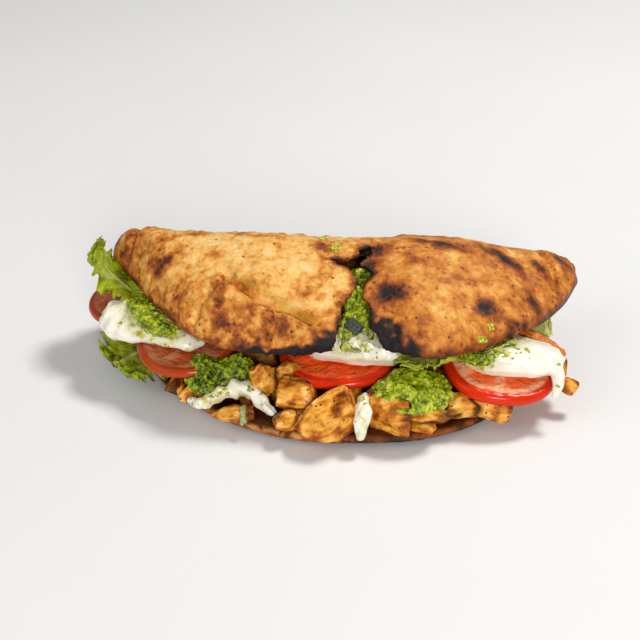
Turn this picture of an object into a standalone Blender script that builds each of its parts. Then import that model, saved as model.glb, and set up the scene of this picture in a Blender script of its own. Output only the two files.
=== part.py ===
# Chicken caprese sandwich: an oval flatbread folded over chicken, tomato, mozzarella, pesto and lettuce.
# The fold runs along X at the back, the mouth of the fold faces -Y, and the lower flap lies on Z = 0.
# Sizes below are millimetres; meshes are made in metres.

import math

import bmesh
import bpy
from mathutils import Matrix, Vector, noise

MM = 0.001
GAP = 0.35                 # clear space kept between touching pieces
LEAF_GAP = 0.8             # and round thin leaves and strips
MERGE_DISTANCE = 2e-6      # metres
FLAT_ANGLE = math.radians(1.5)    # faces this close to one plane are merged after a cut
COARSE_ANGLE = math.radians(11)   # and these before it, on the chicken heap
SPIKE_LIMIT = 1.4          # most that a sharp corner of a grown copy moves, in gaps

# ---------------------------------------------------------------- driving dimensions
LOWER_THICKNESS = 5.5      # flap that lies on the table
FOLD_THICKNESS = 8.0       # doubled-over back
UPPER_THICKNESS = 7.5      # flap over the filling
EDGE_ROUNDING = 4.5        # distance over which the rim tapers to its edge
FLAT_BELOW = 1.0           # lower faces nearer the table than this lie flat on it
BREAD_COLUMNS = 30         # divisions along the fold
LOWER_ROWS = 4             # divisions of the lower flap, the back and the upper flap
BACK_ROWS = 5
UPPER_ROWS = 12
SECTION_STEPS = 14         # points between two control points of a section
CREST_POINT = 6            # control point at the crest
LOWER_SHARE = 0.36         # part of the way round that is lower flap, and where the back ends
BACK_SHARE = 0.56

# Stations along the fold: x, lower rim y, fold y, underside height, crest height, crest y,
# upper rim y, upper rim height.
BREAD_STATIONS = [
    (-107, 30, 40, 26, 50, 33, 29, 44),
    (-98, 14, 43, 9, 59, 27, 15, 42),
    (-84, -18, 43, 2, 66, 15, -10, 41),
    (-62, -46, 42, 0, 68, 4, -42, 40),
    (-36, -66, 41, 0, 70, -2, -56, 38),
    (-8, -77, 40, 0, 69, -4, -60, 38),
    (20, -79, 40, 0, 68, -4, -57, 40),
    (48, -76, 40, 0, 68, -4, -65, 40),
    (76, -62, 40, 0, 65, 0, -55, 39),
    (100, -36, 39, 2, 57, 8, -35, 38),
    (109, -16, 37, 6, 53, 13, -25, 36.5),
    (116, 3, 34, 18, 49, 17, -14, 35),
    (125, 12, 31, 28, 44, 21, 2, 33),
    (133, 19, 27, 33, 41, 23, 17, 36),
]

# Tear through the upper flap, seen from above: down its left side, then back up its right side.
TEAR = [
    (5.8, -17.0), (9.6, -20.2), (13.8, -21.2), (16.2, -24.3), (18.4, -28.9), (17.2, -32.0),
    (13.6, -36.9), (9.8, -42.3), (9.0, -50.0), (6.5, -58.0), (5.5, -75.0), (36.0, -75.0),
    (33.0, -62.0), (28.9, -57.8), (26.7, -53.3), (23.6, -49.8), (24.1, -44.9), (23.3, -40.6),
    (21.1, -36.9), (20.4, -33.5), (21.7, -29.5), (26.1, -25.0), (23.8, -21.8), (20.1, -19.2),
    (25.1, -11.9), (24.3, -6.0), (18.8, -11.8), (15.4, -14.3), (11.5, -16.0),
]
TEAR_HEIGHTS = (31, 85)    # the cut reaches through the upper flap alone

# Creases in the upper flap, seen from above, with width and depth.
CREASES = [
    ([(-39, -29), (-33, -34), (-26, -39), (-18, -41), (-10, -43), (-4, -46)], 4.5, 4.0),
    ([(-49, -28), (-54, -31), (-58, -35), (-62, -41)], 4.0, 2.4),
    ([(-15, -46), (-16, -52), (-18, -58)], 4.0, 2.4),
    ([(-101, 8), (-94, 17), (-88, 24)], 4.5, 3.5),
    ([(113, 22), (117, 10), (121, 0)], 4.5, 3.5),
]

# Swellings in the upper flap: x, y, radius, height.
PILLOWS = [
    (-44, -40, 15, 3.5), (-24, -30, 10, 2.5), (-100, 24, 9, 2.5), (125, 14, 9, 3.5),
    (50, -30, 22, 2.0), (84, -32, 14, 1.5), (-70, -12, 15, 1.6), (-20, -8, 18, 1.0),
]

# Lumps of pesto that stuck to the crust: x, y, length, width, height.
CRUST_BITS = [(8, -9, 4.5, 5, 2.6), (2, 3, 5.5, 3, 2.2), (79.5, -48, 3, 4.5, 2.4), (75, -54, 5, 4, 2.6)]

# Tomato slices: centre, radius, thickness, tilt about X, tilt about Y in degrees.
TOMATOES = {
    "tomato_far_left": ((-95, 12, 31.5), 24, 4.6, 6, -14),
    "tomato_left": ((-64, -25, 24.5), 25.5, 4.8, 5, -3),
    "tomato_centre": ((9.5, -36, 25.5), 28.5, 5.0, 3, 0),
    "tomato_right": ((86, -41, 22.5), 28, 6.0, 9, 7),
}

# Chicken pieces that show: centre, size, turn about Z, tilt about Y in degrees.
CHICKEN_PIECES = [
    ((3, -74.5, 14.5), (28, 17, 20), 12, -18),
    ((33, -70, 15), (20, 15, 20), -8, -5),
    ((-10, -63, 19.5), (19, 14, 13), -10, 10),
    ((-14, -71, 11), (13, 9, 9), 25, 0),
    ((-25, -50.5, 20.5), (13, 11, 16), 40, -15),
    ((-14, -49, 24), (13, 10, 9), 15, 10),
    ((13, -60, 16.5), (14, 12, 11), 20, 5),
    ((51, -69, 14), (30, 8, 8), 24, 22),
    ((66, -63, 13), (22, 9, 11), 28, 10),
    ((46, -70, 8.5), (16, 9, 6), -20, 0),
    ((80, -59, 11), (20, 14, 12), 5, 0),
    ((-60, -48, 12), (15, 7, 9), 35, -20),
    ((-72, -43, 12), (13, 8, 10), 60, 15),
    ((-40, -62, 9), (18, 9, 6), 12, 0),
    ((115, -36, 19), (10, 15, 10), 20, 25),
    ((117, -46, 15), (13, 6, 6), -25, 15),
    ((103, -40, 13), (17, 14, 10), 0, 0),
]

# Chicken heap below the pieces, seen from above, and its heights at the mouth and under the crest.
HEAP_OUTLINE = [
    (-90, 20), (-84, -10), (-70, -34), (-48, -52), (-20, -62), (10, -66), (42, -62), (68, -52),
    (90, -38), (106, -24), (106, 6), (84, 25), (30, 28), (-40, 28), (-76, 28),
]
LARGE_PIECE = 19.5         # pieces longer than this get a finer surface
HEAP_FLOOR = 6.6
HEAP_MOUTH = 19
HEAP_BACK = 56

# Melted mozzarella: outline seen from above, underside and top heights, roundness of the top.
MOZZARELLA = {
    "mozzarella_centre": (
        [(-12, -42), (0, -51), (14, -54), (26, -55), (37, -57), (40, -40), (32, -16), (10, -12), (-8, -18)],
        27.5, 44, 2.8),
    "mozzarella_left": (
        [(-108, -4), (-110, -14), (-104, -22), (-97, -25), (-91, -31), (-83, -30), (-74, -36), (-63, -39),
         (-55, -33), (-56, -16), (-68, 2), (-84, 13), (-98, 8)],
        26.5, 34, 2.4),
    "mozzarella_right": (
        [(64, -44), (72, -54), (86, -58), (100, -59), (112, -57), (117, -46), (109, -37), (97, -31),
         (80, -22), (68, -28)],
        24.0, 35.5, 3.4),
    "mozzarella_far_left": (
        [(-118, 14), (-112, 4), (-106, -2), (-98, 4), (-96, 18), (-108, 26), (-117, 24)],
        22.0, 30, 2.4),
}

# Runs of mozzarella that hang or lie in front: path and radii along it.
MOZZARELLA_RUNS = {
    "mozzarella_drip": (
        [(21, -66, 22), (20.5, -73, 20), (19.5, -79, 15), (19, -82, 8)], (3.4, 4.0, 3.6, 2.0)),
    "mozzarella_strand": (
        [(-62, -56, 12), (-54, -59, 13), (-46, -57, 16), (-38, -54, 18), (-31, -56, 16), (-25, -61, 13),
         (-20, -65, 10)],
        (2.0, 2.6, 3.2, 3.6, 3.4, 3.8, 3.0)),
}

# Corners of a cheese slab that hang down over what lies below: path and radii along it.
MOZZARELLA_DROOPS = {
    "mozzarella_right": (
        [(108, -48, 31), (111, -55, 28), (111.5, -59, 22), (109, -61, 16)], (3.0, 3.4, 3.0, 1.8)),
}

# Pesto heaps: outline seen from above, underside and top heights, roundness of the top.
PESTO = {
    "pesto_right": (
        [(20, -66), (26, -74), (36, -79), (48, -80), (59, -74), (63, -62), (58, -52), (44, -48), (30, -54)],
        17.0, 25, 2.2),
    "pesto_left": (
        [(-65, -42), (-64, -50), (-58, -57), (-51, -59), (-45, -53), (-37, -53), (-30, -52), (-26, -46),
         (-32, -39), (-42, -37), (-52, -34), (-61, -36)],
        12.5, 23, 2.2),
    "pesto_tear": (
        [(8, -46), (10, -53), (17, -55), (24, -51), (26, -42), (25, -30), (30, -18), (27, -6), (15, -6),
         (9, -16), (12, -30), (10, -38)],
        36.0, 6.5, 3.0),
    "pesto_on_left_cheese": (
        [(-97, -8), (-93, -19), (-88, -27), (-79, -34), (-70, -37), (-65, -31), (-72, -18), (-82, -4),
         (-91, 2)],
        31.0, 41.5, 2.6),
    "pesto_on_right_cheese": (
        [(62, -46), (68, -56), (78, -58), (88, -52), (96, -46), (92, -38), (76, -38)],
        30.0, 38.5, 2.6),
}

# Swells on the flat tops of heaps: x, y, reach, height.
SWELLS = {
    "mozzarella_left": [(-99, -2, 8, 6), (-86, -16, 10, 6), (-69, -22, 9, 5), (-104, -15, 6, 3)],
    "mozzarella_right": [(82, -46, 9, 2), (104, -48, 8, 1.5)],
    "pesto_left": [(-37, -44, 9, 9), (-55, -47, 6, 4), (-59, -40, 7, 7)],
    "pesto_right": [(35, -59, 9, 5), (52, -57, 8, 5), (41, -69, 9, 3.5)],
}

# Leaves: path of the midrib, half widths along it, direction across, edge waves (height, count).
LEAVES = {
    "lettuce_upper_left": (
        [(-82, 1, 37), (-92, 3, 39), (-102, 8, 42), (-111, 18, 48), (-115, 25, 54)],
        (8, 11, 14, 16, 11), (0.1, 1.0, 0.12), 2.8, 2.6),
    "lettuce_lower_left": (
        [(-70, -5, 17), (-81, -11, 17), (-90, -16, 15), (-97, -20, 12), (-101, -22, 10)],
        (16, 22, 25, 24, 18), (0.62, -0.78, -0.02), 2.4, 2.6),
    "lettuce_centre": (
        [(50, -36, 34.5), (50, -46, 34.5), (50, -54, 34), (50, -61, 33.5)],
        (10, 14, 15, 11), (1.0, 0.1, 0.05), 1.2, 2.0),
    "lettuce_right": (
        [(95, -10, 26), (102, -15, 28), (108, -19, 28.5), (113, -23, 27)],
        (7, 9, 10, 8), (0.25, 0.55, 0.8), 1.2, 1.6),
}

# Strips: path, width, thickness.
STRIPS = {
    "pepper_strip": ([(94, -24, 34), (102, -29, 33), (110, -34, 30.5), (117, -41, 27)], 6.0, 1.4),
    "onion_piece": ([(-35.5, -63, 13), (-35.5, -67, 11), (-35, -70, 8.0)], 3.6, 1.8),
    "basil_leaf": ([(13, -48, 50), (16, -51, 49.5), (19, -53, 47.5)], 8.0, 0.9),
}


# ---------------------------------------------------------------- general helpers
def smooth_table(rows, x):
    """Cubic interpolation between table rows whose first value is the position."""
    last = len(rows) - 1
    x = min(max(x, rows[0][0]), rows[last][0])
    k = 0
    while k < last - 1 and x > rows[k + 1][0]:
        k += 1
    a, b = rows[k], rows[k + 1]
    before = rows[max(k - 1, 0)]
    after = rows[min(k + 2, last)]
    span = b[0] - a[0]
    t = (x - a[0]) / span
    result = []
    for c in range(1, len(a)):
        slope_a = (b[c] - before[c]) / (b[0] - before[0]) * span
        slope_b = (after[c] - a[c]) / (after[0] - a[0]) * span
        h00 = 2 * t ** 3 - 3 * t ** 2 + 1
        h10 = t ** 3 - 2 * t ** 2 + t
        h01 = 3 * t ** 2 - 2 * t ** 3
        h11 = t ** 3 - t ** 2
        result.append(h00 * a[c] + h10 * slope_a + h01 * b[c] + h11 * slope_b)
    return result


def catmull_rom(points, steps):
    """Dense smooth curve through 2-D points."""
    ends = [points[0]] + list(points) + [points[-1]]
    curve = []
    for k in range(1, len(ends) - 2):
        p0, p1, p2, p3 = ends[k - 1:k + 3]
        for i in range(steps):
            t = i / steps
            curve.append(tuple(
                0.5 * (2 * p1[c] + (p2[c] - p0[c]) * t
                       + (2 * p0[c] - 5 * p1[c] + 4 * p2[c] - p3[c]) * t ** 2
                       + (3 * p1[c] - p0[c] - 3 * p2[c] + p3[c]) * t ** 3)
                for c in range(len(p1))))
    curve.append(tuple(points[-1]))
    return curve


def material(name, colour, roughness):
    """Principled material of one food."""
    mat = bpy.data.materials.get(name)
    if mat:
        return mat
    mat = bpy.data.materials.new(name)
    mat.use_nodes = True
    shader = mat.node_tree.nodes["Principled BSDF"]
    shader.inputs["Base Color"].default_value = (*colour, 1)
    shader.inputs["Roughness"].default_value = roughness
    shader.inputs["Metallic"].default_value = 0
    return mat


def add_object(name, bm, mat):
    """Turn a bmesh in millimetres into a named object in metres."""
    bmesh.ops.scale(bm, vec=(MM, MM, MM), verts=bm.verts)
    bmesh.ops.triangulate(bm, faces=bm.faces)
    bmesh.ops.recalc_face_normals(bm, faces=bm.faces)
    mesh = bpy.data.meshes.new(name)
    bm.to_mesh(mesh)
    bm.free()
    mesh.materials.append(mat)
    mesh.shade_smooth()
    obj = bpy.data.objects.new(name, mesh)
    bpy.context.scene.collection.objects.link(obj)
    return obj


def skin_grid(bm, outer, inner):
    """Faces of a thin sheet: two vertex grids that share the vertices of their rim."""
    last_i, last_j = len(outer) - 2, len(outer[0]) - 2
    for i in range(last_i + 1):
        for j in range(last_j + 1):
            # At these two corners the other diagonal would lie wholly in the rim.
            other_diagonal = (i, j) in ((last_i, 0), (0, last_j))
            for sheet in (outer, inner):
                a, b = sheet[i][j], sheet[i + 1][j]
                c, d = sheet[i + 1][j + 1], sheet[i][j + 1]
                pair = ((a, b, d), (b, c, d)) if other_diagonal else ((a, b, c), (a, c, d))
                for face in pair:
                    bm.faces.new(face if sheet is outer else face[::-1])


# ---------------------------------------------------------------- bread
def section_curve(x):
    """Middle line of the folded sheet at x: lower rim, back fold, crest, upper rim."""
    lower_y, fold_y, low_z, crest_z, crest_y, upper_y, upper_z = smooth_table(BREAD_STATIONS, x)
    middle_z = crest_z - UPPER_THICKNESS / 2
    floor_z = low_z + LOWER_THICKNESS / 2
    height = crest_z - floor_z
    points = [
        (lower_y, floor_z + 1.5),
        (lower_y + 0.3 * (fold_y - lower_y), floor_z),
        (lower_y + 0.75 * (fold_y - lower_y), floor_z + 0.5),
        (fold_y - 4, floor_z + 0.18 * height),
        (fold_y - 3, floor_z + 0.48 * height),
        (crest_y + 0.62 * (fold_y - crest_y), floor_z + 0.78 * height),
        (crest_y, middle_z),
        (crest_y + 0.5 * (upper_y - crest_y), upper_z + 0.70 * (middle_z - upper_z)),
        (upper_y, upper_z),
    ]
    return catmull_rom(points, SECTION_STEPS)


def along_curve(curve, distances):
    """Points and outward normals at given distances along a 2-D curve."""
    lengths = [0.0]
    for a, b in zip(curve, curve[1:]):
        lengths.append(lengths[-1] + math.dist(a, b))
    total = lengths[-1]
    found = []
    k = 0
    for d in distances:
        d = d * total
        while k < len(curve) - 2 and lengths[k + 1] < d:
            k += 1
        span = max(lengths[k + 1] - lengths[k], 1e-9)
        t = (d - lengths[k]) / span
        a, b = curve[k], curve[k + 1]
        before, after = curve[max(k - 2, 0)], curve[min(k + 3, len(curve) - 1)]
        ty, tz = after[0] - before[0], after[1] - before[1]
        size = math.hypot(ty, tz)
        point = (a[0] + (b[0] - a[0]) * t, a[1] + (b[1] - a[1]) * t)
        found.append((point, (tz / size, -ty / size), d, total))
    return found


def edge_fraction(distance):
    """Share of the full thickness at a distance in from the rim."""
    t = min(max(distance / EDGE_ROUNDING, 0), 1)
    return math.sqrt(1 - (1 - t) ** 2)


def spread(start, end, count, edge_steps):
    """Positions from start to end, with extra ones close to both ends."""
    inner_start, inner_end = start + edge_steps[-1], end - edge_steps[-1]
    middle = [inner_start + (inner_end - inner_start) * i / count for i in range(count + 1)]
    return ([start] + [start + e for e in edge_steps[:-1]] + middle
            + [end - e for e in reversed(edge_steps[:-1])] + [end])


def distance_to_path(x, y, path):
    """Shortest distance from a point to a chain of straight runs, seen from above."""
    best = 1e9
    for (ax, ay), (bx, by) in zip(path, path[1:]):
        dx, dy = bx - ax, by - ay
        t = ((x - ax) * dx + (y - ay) * dy) / (dx * dx + dy * dy)
        t = min(max(t, 0), 1)
        best = min(best, math.hypot(x - ax - t * dx, y - ay - t * dy))
    return best


def crust_relief(x, y, z):
    """Height of the upper flap's skin above its plain form: uneven dough, swellings and creases."""
    place = Vector((x, y, z))
    height = 1.5 * noise.noise(place / 26) + 0.7 * noise.noise(place / 9 + Vector((5, 0, 0)))
    for px, py, radius, swell in PILLOWS:
        height += swell * math.exp(-((x - px) ** 2 + (y - py) ** 2) / radius ** 2)
    for path, width, depth in CREASES:
        height -= depth * math.exp(-(distance_to_path(x, y, path) / width) ** 2)
    return height


def row_shares():
    """Places of the rows round the fold, closer together where the surface shows most."""
    edge = (0.008, 0.024)
    stops = ((edge[1], LOWER_SHARE, LOWER_ROWS), (LOWER_SHARE, BACK_SHARE, BACK_ROWS),
             (BACK_SHARE, 1 - edge[1], UPPER_ROWS))
    shares = [0, edge[0]]
    for start, end, count in stops:
        shares += [start + (end - start) * i / count for i in range(count)]
    return shares + [1 - edge[1], 1 - edge[0], 1]


def build_bread():
    bm = bmesh.new()
    first, last = BREAD_STATIONS[0][0], BREAD_STATIONS[-1][0]
    columns = spread(first, last, BREAD_COLUMNS, (1.2, 4.0))
    outer, inner = [], []
    for x in columns:
        curve = section_curve(x)
        shares = row_shares()
        outer_row, inner_row = [], []
        for share, (point, normal, d, total) in zip(shares, along_curve(curve, shares)):
            rim = min(d, total - d, x - first, last - x)
            if share < 0.4:
                thickness = LOWER_THICKNESS
            elif share < 0.6:
                thickness = FOLD_THICKNESS
            else:
                thickness = UPPER_THICKNESS
            fullness = edge_fraction(rim)
            half = 0.5 * thickness * fullness
            relief = 0
            if share > 0.42:
                ramp = min((share - 0.42) / 0.1, 1)
                relief = crust_relief(x, point[0], point[1]) * ramp * fullness
            ends = []
            for offset in (half + relief, -half):
                y = point[0] + normal[0] * offset
                z = point[1] + normal[1] * offset
                if offset > 0 and share < 0.4 and z < FLAT_BELOW:
                    z = 0
                ends.append((x, y, z))
            outer_vert = bm.verts.new(ends[0])
            outer_row.append(outer_vert)
            inner_row.append(outer_vert if rim < 1e-6 else bm.verts.new(ends[1]))
        outer.append(outer_row)
        inner.append(inner_row)
    skin_grid(bm, outer, inner)
    bread = add_object("bread", bm, BREAD)
    cut_away(bread, prism(TEAR, *TEAR_HEIGHTS))
    parts = [bread]
    for index, (x, y, length, width, height) in enumerate(CRUST_BITS):
        z = upper_skin(x, y) + 0.15 * height
        parts.append(lump("bit", (x, y, z), (length, width, height), 20 * index, 0, 1, BREAD, 1))
    return fuse(parts, "bread")


def upper_line(x):
    """Middle line of the upper flap at x, from the crest to the rim, as (y, z) pairs."""
    curve = section_curve(x)
    return curve[SECTION_STEPS * CREST_POINT:]


def upper_skin(x, y):
    """Height of the upper flap's outer skin at a place seen from above."""
    line = upper_line(x)
    if y >= line[0][0]:
        z = line[0][1]
    else:
        z = line[-1][1]
        for (ya, za), (yb, zb) in zip(line, line[1:]):
            if yb <= y <= ya:
                z = za + (zb - za) * (ya - y) / max(ya - yb, 1e-6)
                break
    return z + UPPER_THICKNESS / 2 + crust_relief(x, y, z)


# ---------------------------------------------------------------- solids made of other solids
def prism(outline, low, high):
    """Upright prism over an outline."""
    bm = bmesh.new()
    bottom = [bm.verts.new((x, y, low)) for x, y in outline]
    top = [bm.verts.new((x, y, high)) for x, y in outline]
    bm.faces.new(bottom[::-1])
    bm.faces.new(top)
    count = len(outline)
    for k in range(count):
        bm.faces.new((bottom[k], bottom[(k + 1) % count], top[(k + 1) % count], top[k]))
    return add_object("cutter", bm, BREAD)


def boolean_result(obj, operation, solver, operand, collection):
    """Mesh that one Boolean gives, tidied, with its volume and whether it is closed."""
    modifier = obj.modifiers.new("boolean", "BOOLEAN")
    modifier.operation = operation
    modifier.solver = solver
    if collection:
        modifier.operand_type = "COLLECTION"
        modifier.collection = collection
    else:
        modifier.object = operand
    graph = bpy.context.evaluated_depsgraph_get()
    mesh = bpy.data.meshes.new_from_object(obj.evaluated_get(graph))
    obj.modifiers.clear()
    return mesh, tidy_mesh(mesh)


def apply_boolean(obj, operation, operand=None, collection=None):
    """Run one Boolean on an object and keep its result as the object's own mesh."""
    mesh, sound = boolean_result(obj, operation, "EXACT", operand, collection)
    if not sound:
        bpy.data.meshes.remove(mesh)
        mesh, sound = boolean_result(obj, operation, "MANIFOLD", operand, collection)
    old = obj.data
    obj.data = mesh
    bpy.data.meshes.remove(old)


def is_closed(bm):
    return len(bm.faces) > 0 and all(edge.is_manifold for edge in bm.edges)


def tidy_mesh(mesh):
    """Merge doubled points and keep the largest body; tell whether it is closed."""
    bm = bmesh.new()
    bm.from_mesh(mesh)
    bmesh.ops.triangulate(bm, faces=bm.faces)
    merged = bm.copy()
    bmesh.ops.remove_doubles(merged, verts=merged.verts, dist=MERGE_DISTANCE)
    bmesh.ops.dissolve_degenerate(merged, edges=merged.edges, dist=MERGE_DISTANCE)
    bmesh.ops.triangulate(merged, faces=merged.faces)
    if is_closed(merged):
        bm.free()
        bm = merged
    else:
        merged.free()
    unseen = set(bm.verts)
    bodies = []
    while unseen:
        stack = [unseen.pop()]
        body = list(stack)
        while stack:
            for edge in stack.pop().link_edges:
                for vert in edge.verts:
                    if vert in unseen:
                        unseen.remove(vert)
                        stack.append(vert)
                        body.append(vert)
        bodies.append(body)
    bodies.sort(key=len, reverse=True)
    scraps = [vert for body in bodies[1:] for vert in body]
    bmesh.ops.delete(bm, geom=scraps, context="VERTS")
    sound = is_closed(bm) and bm.calc_volume(signed=True) > 0
    bm.to_mesh(mesh)
    bm.free()
    return sound


def cut_away(obj, cutter):
    """Cut one solid out of another and remove the cutter."""
    apply_boolean(obj, "DIFFERENCE", operand=cutter)
    bpy.data.objects.remove(cutter, do_unlink=True)


def fuse(parts, name):
    """Join solids that meet into one body, by one union on a collection."""
    base, rest = parts[0], parts[1:]
    group = bpy.data.collections.new("group")
    bpy.context.scene.collection.children.link(group)
    for part in rest:
        group.objects.link(part)
    apply_boolean(base, "UNION", collection=group)
    for part in rest:
        bpy.data.objects.remove(part, do_unlink=True)
    bpy.data.collections.remove(group)
    base.name = name
    return base


def swollen_copy(obj, gap):
    """Copy of a solid, grown outwards by the gap that its neighbours keep."""
    bm = bmesh.new()
    bm.from_mesh(obj.data)
    bm.normal_update()
    for vert in bm.verts:
        vert.co += vert.normal * gap * MM * min(vert.calc_shell_factor(), SPIKE_LIMIT)
    mesh = bpy.data.meshes.new("grown")
    bm.to_mesh(mesh)
    bm.free()
    grown = bpy.data.objects.new("grown", mesh)
    bpy.context.scene.collection.objects.link(grown)
    return grown


def boxes_meet(a, b):
    """Whether the bounding boxes of two solids come within the gap."""
    reach = LEAF_GAP * MM
    for axis in range(3):
        low_a = min(v.co[axis] for v in a.data.vertices)
        high_a = max(v.co[axis] for v in a.data.vertices)
        low_b = min(v.co[axis] for v in b.data.vertices)
        high_b = max(v.co[axis] for v in b.data.vertices)
        if low_a > high_b + reach or low_b > high_a + reach:
            return False
    return True


def fit_to(obj, neighbours, thin=False):
    """Cut a soft piece back to its neighbours, with the gap left between them."""
    for other in neighbours:
        if boxes_meet(obj, other):
            cut_away(obj, swollen_copy(other, LEAF_GAP if thin else GAP))
    if not thin:
        join_flat_faces(obj.data, FLAT_ANGLE)
    return obj


def join_flat_faces(mesh, angle):
    """Merge the nearly coplanar slivers that cuts leave, where the body stays closed."""
    bm = bmesh.new()
    bm.from_mesh(mesh)
    bmesh.ops.dissolve_limit(bm, angle_limit=angle, verts=bm.verts, edges=bm.edges)
    bmesh.ops.triangulate(bm, faces=bm.faces)
    if is_closed(bm):
        bm.to_mesh(mesh)
    bm.free()


# ---------------------------------------------------------------- pieces of the filling
def lump(name, centre, size, turn, tilt, detail, mat, seed):
    """Rounded uneven block: a chicken cube or a clot of pesto."""
    bm = bmesh.new()
    bmesh.ops.create_cube(bm, size=1)
    bmesh.ops.subdivide_edges(bm, edges=bm.edges, cuts=detail, use_grid_fill=True)
    shift = Vector((seed * 7.3, seed * 3.1, 0))
    for vert in bm.verts:
        ball = vert.co.normalized() * 0.56
        vert.co = vert.co.lerp(ball, 0.5)
        vert.co *= 1 + 0.28 * noise.noise(vert.co * 2.6 + shift)
    bmesh.ops.scale(bm, vec=size, verts=bm.verts)
    spin = Matrix.Rotation(math.radians(turn), 4, "Z") @ Matrix.Rotation(math.radians(tilt), 4, "Y")
    bmesh.ops.transform(bm, matrix=Matrix.Translation(centre) @ spin, verts=bm.verts)
    return add_object(name, bm, mat)


def closed_outline(points, count):
    """Evenly spaced points on a smooth closed line through the given ones."""
    ring = list(points)
    curve = catmull_rom(ring[-2:] + ring + ring[:3], 10)[20:-20]
    lengths = [0.0]
    for a, b in zip(curve, curve[1:]):
        lengths.append(lengths[-1] + math.dist(a, b))
    spaced = []
    k = 0
    for i in range(count):
        d = lengths[-1] * i / count
        while lengths[k + 1] < d:
            k += 1
        t = (d - lengths[k]) / max(lengths[k + 1] - lengths[k], 1e-9)
        spaced.append(tuple(curve[k][c] + (curve[k + 1][c] - curve[k][c]) * t for c in (0, 1)))
    return spaced


def mound(name, outline, low, high, roundness, mat, rings=3, count=15, bump=(9, 1.6)):
    """Soft heap over an outline: rounded rim, uneven top. low and high may be functions of (x, y)."""
    low_at = low if callable(low) else (lambda x, y: low)
    high_at = high if callable(high) else (lambda x, y: high)
    ring_points = closed_outline(outline, count)
    cx = sum(p[0] for p in ring_points) / count
    cy = sum(p[1] for p in ring_points) / count
    bm = bmesh.new()
    grain, rise = bump

    def height_pair(x, y, r):
        swell = (1 - r ** (2 * roundness)) ** 0.5
        base, top = low_at(x, y), high_at(x, y)
        middle = base + 0.42 * (top - base)
        wave = rise * noise.noise(Vector((x, y, len(name))) / grain)
        return middle + (top - middle) * swell + wave * swell, middle - (middle - base) * swell

    top_centre, bottom_centre = height_pair(cx, cy, 0)
    tops = [[bm.verts.new((cx, cy, top_centre))]]
    bottoms = [[bm.verts.new((cx, cy, bottom_centre))]]
    for ring in range(1, rings + 1):
        r = math.sin(0.5 * math.pi * ring / rings) if ring < rings else 1.0
        top_ring, bottom_ring = [], []
        for px, py in ring_points:
            x, y = cx + (px - cx) * r, cy + (py - cy) * r
            z_top, z_bottom = height_pair(x, y, r)
            vert = bm.verts.new((x, y, z_top))
            top_ring.append(vert)
            bottom_ring.append(vert if ring == rings else bm.verts.new((x, y, z_bottom)))
        tops.append(top_ring)
        bottoms.append(bottom_ring)
    for sheet in (tops, bottoms):
        for k in range(count):
            n = (k + 1) % count
            bm.faces.new((sheet[0][0], sheet[1][k], sheet[1][n]))
            for ring in range(1, rings):
                bm.faces.new((sheet[ring][k], sheet[ring + 1][k], sheet[ring + 1][n], sheet[ring][n]))
    return add_object(name, bm, mat)


def tomato_slice(name, centre, radius, thickness, tilt_x, tilt_y):
    """Round slice with a rounded skin edge, slightly out of true."""
    half = thickness / 2
    profile = [(0.0, half), (0.9, half), (0.985, 0.55 * half), (1.0, 0), (0.985, -0.55 * half), (0.9, -half),
               (0.0, -half)]
    count = 22
    bm = bmesh.new()
    rings = []
    for share, z in profile:
        ring = []
        for k in range(count if share else 1):
            a = 2 * math.pi * k / count
            lobe = 1 + 0.018 * math.sin(3 * a + radius) + 0.012 * math.sin(5 * a)
            sag = 0.5 * math.sin(2 * a + radius) * share ** 2
            ring.append(bm.verts.new((
                radius * share * lobe * math.cos(a), radius * share * lobe * math.sin(a), z + sag)))
        rings.append(ring)
    for upper, lower in zip(rings, rings[1:]):
        for k in range(count):
            n = (k + 1) % count
            if len(upper) == 1:
                bm.faces.new((upper[0], lower[k], lower[n]))
            elif len(lower) == 1:
                bm.faces.new((upper[k], lower[0], upper[n]))
            else:
                bm.faces.new((upper[k], lower[k], lower[n], upper[n]))
    spin = Matrix.Rotation(math.radians(tilt_y), 4, "Y") @ Matrix.Rotation(math.radians(tilt_x), 4, "X")
    bmesh.ops.transform(bm, matrix=Matrix.Translation(centre) @ spin, verts=bm.verts)
    return add_object(name, bm, TOMATO)


def run_of_cheese(name, path, radii):
    """Soft strand along a path with round ends."""
    sides, steps = 8, 2
    spine = catmull_rom([p + (r,) for p, r in zip(path, radii)], steps)
    bm = bmesh.new()
    rings = []
    for k, (x, y, z, radius) in enumerate(spine):
        before, after = spine[max(k - 1, 0)], spine[min(k + 1, len(spine) - 1)]
        along = Vector(after[:3]) - Vector(before[:3])
        across = along.cross(Vector((0.3, 1, 0.2))).normalized()
        up = along.cross(across).normalized()
        squeeze = 0.55 if k in (0, len(spine) - 1) else 1
        ring = []
        for i in range(sides):
            a = 2 * math.pi * i / sides
            offset = across * math.cos(a) + up * math.sin(a) * 0.8
            ring.append(bm.verts.new(Vector((x, y, z)) + offset * radius * squeeze))
        rings.append(ring)
    for a, b in zip(rings, rings[1:]):
        for i in range(sides):
            n = (i + 1) % sides
            bm.faces.new((a[i], b[i], b[n], a[n]))
    for ring in (rings[0], rings[-1]):
        bm.faces.new(ring)
    return add_object(name, bm, MOZZARELLA_SKIN)


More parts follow.
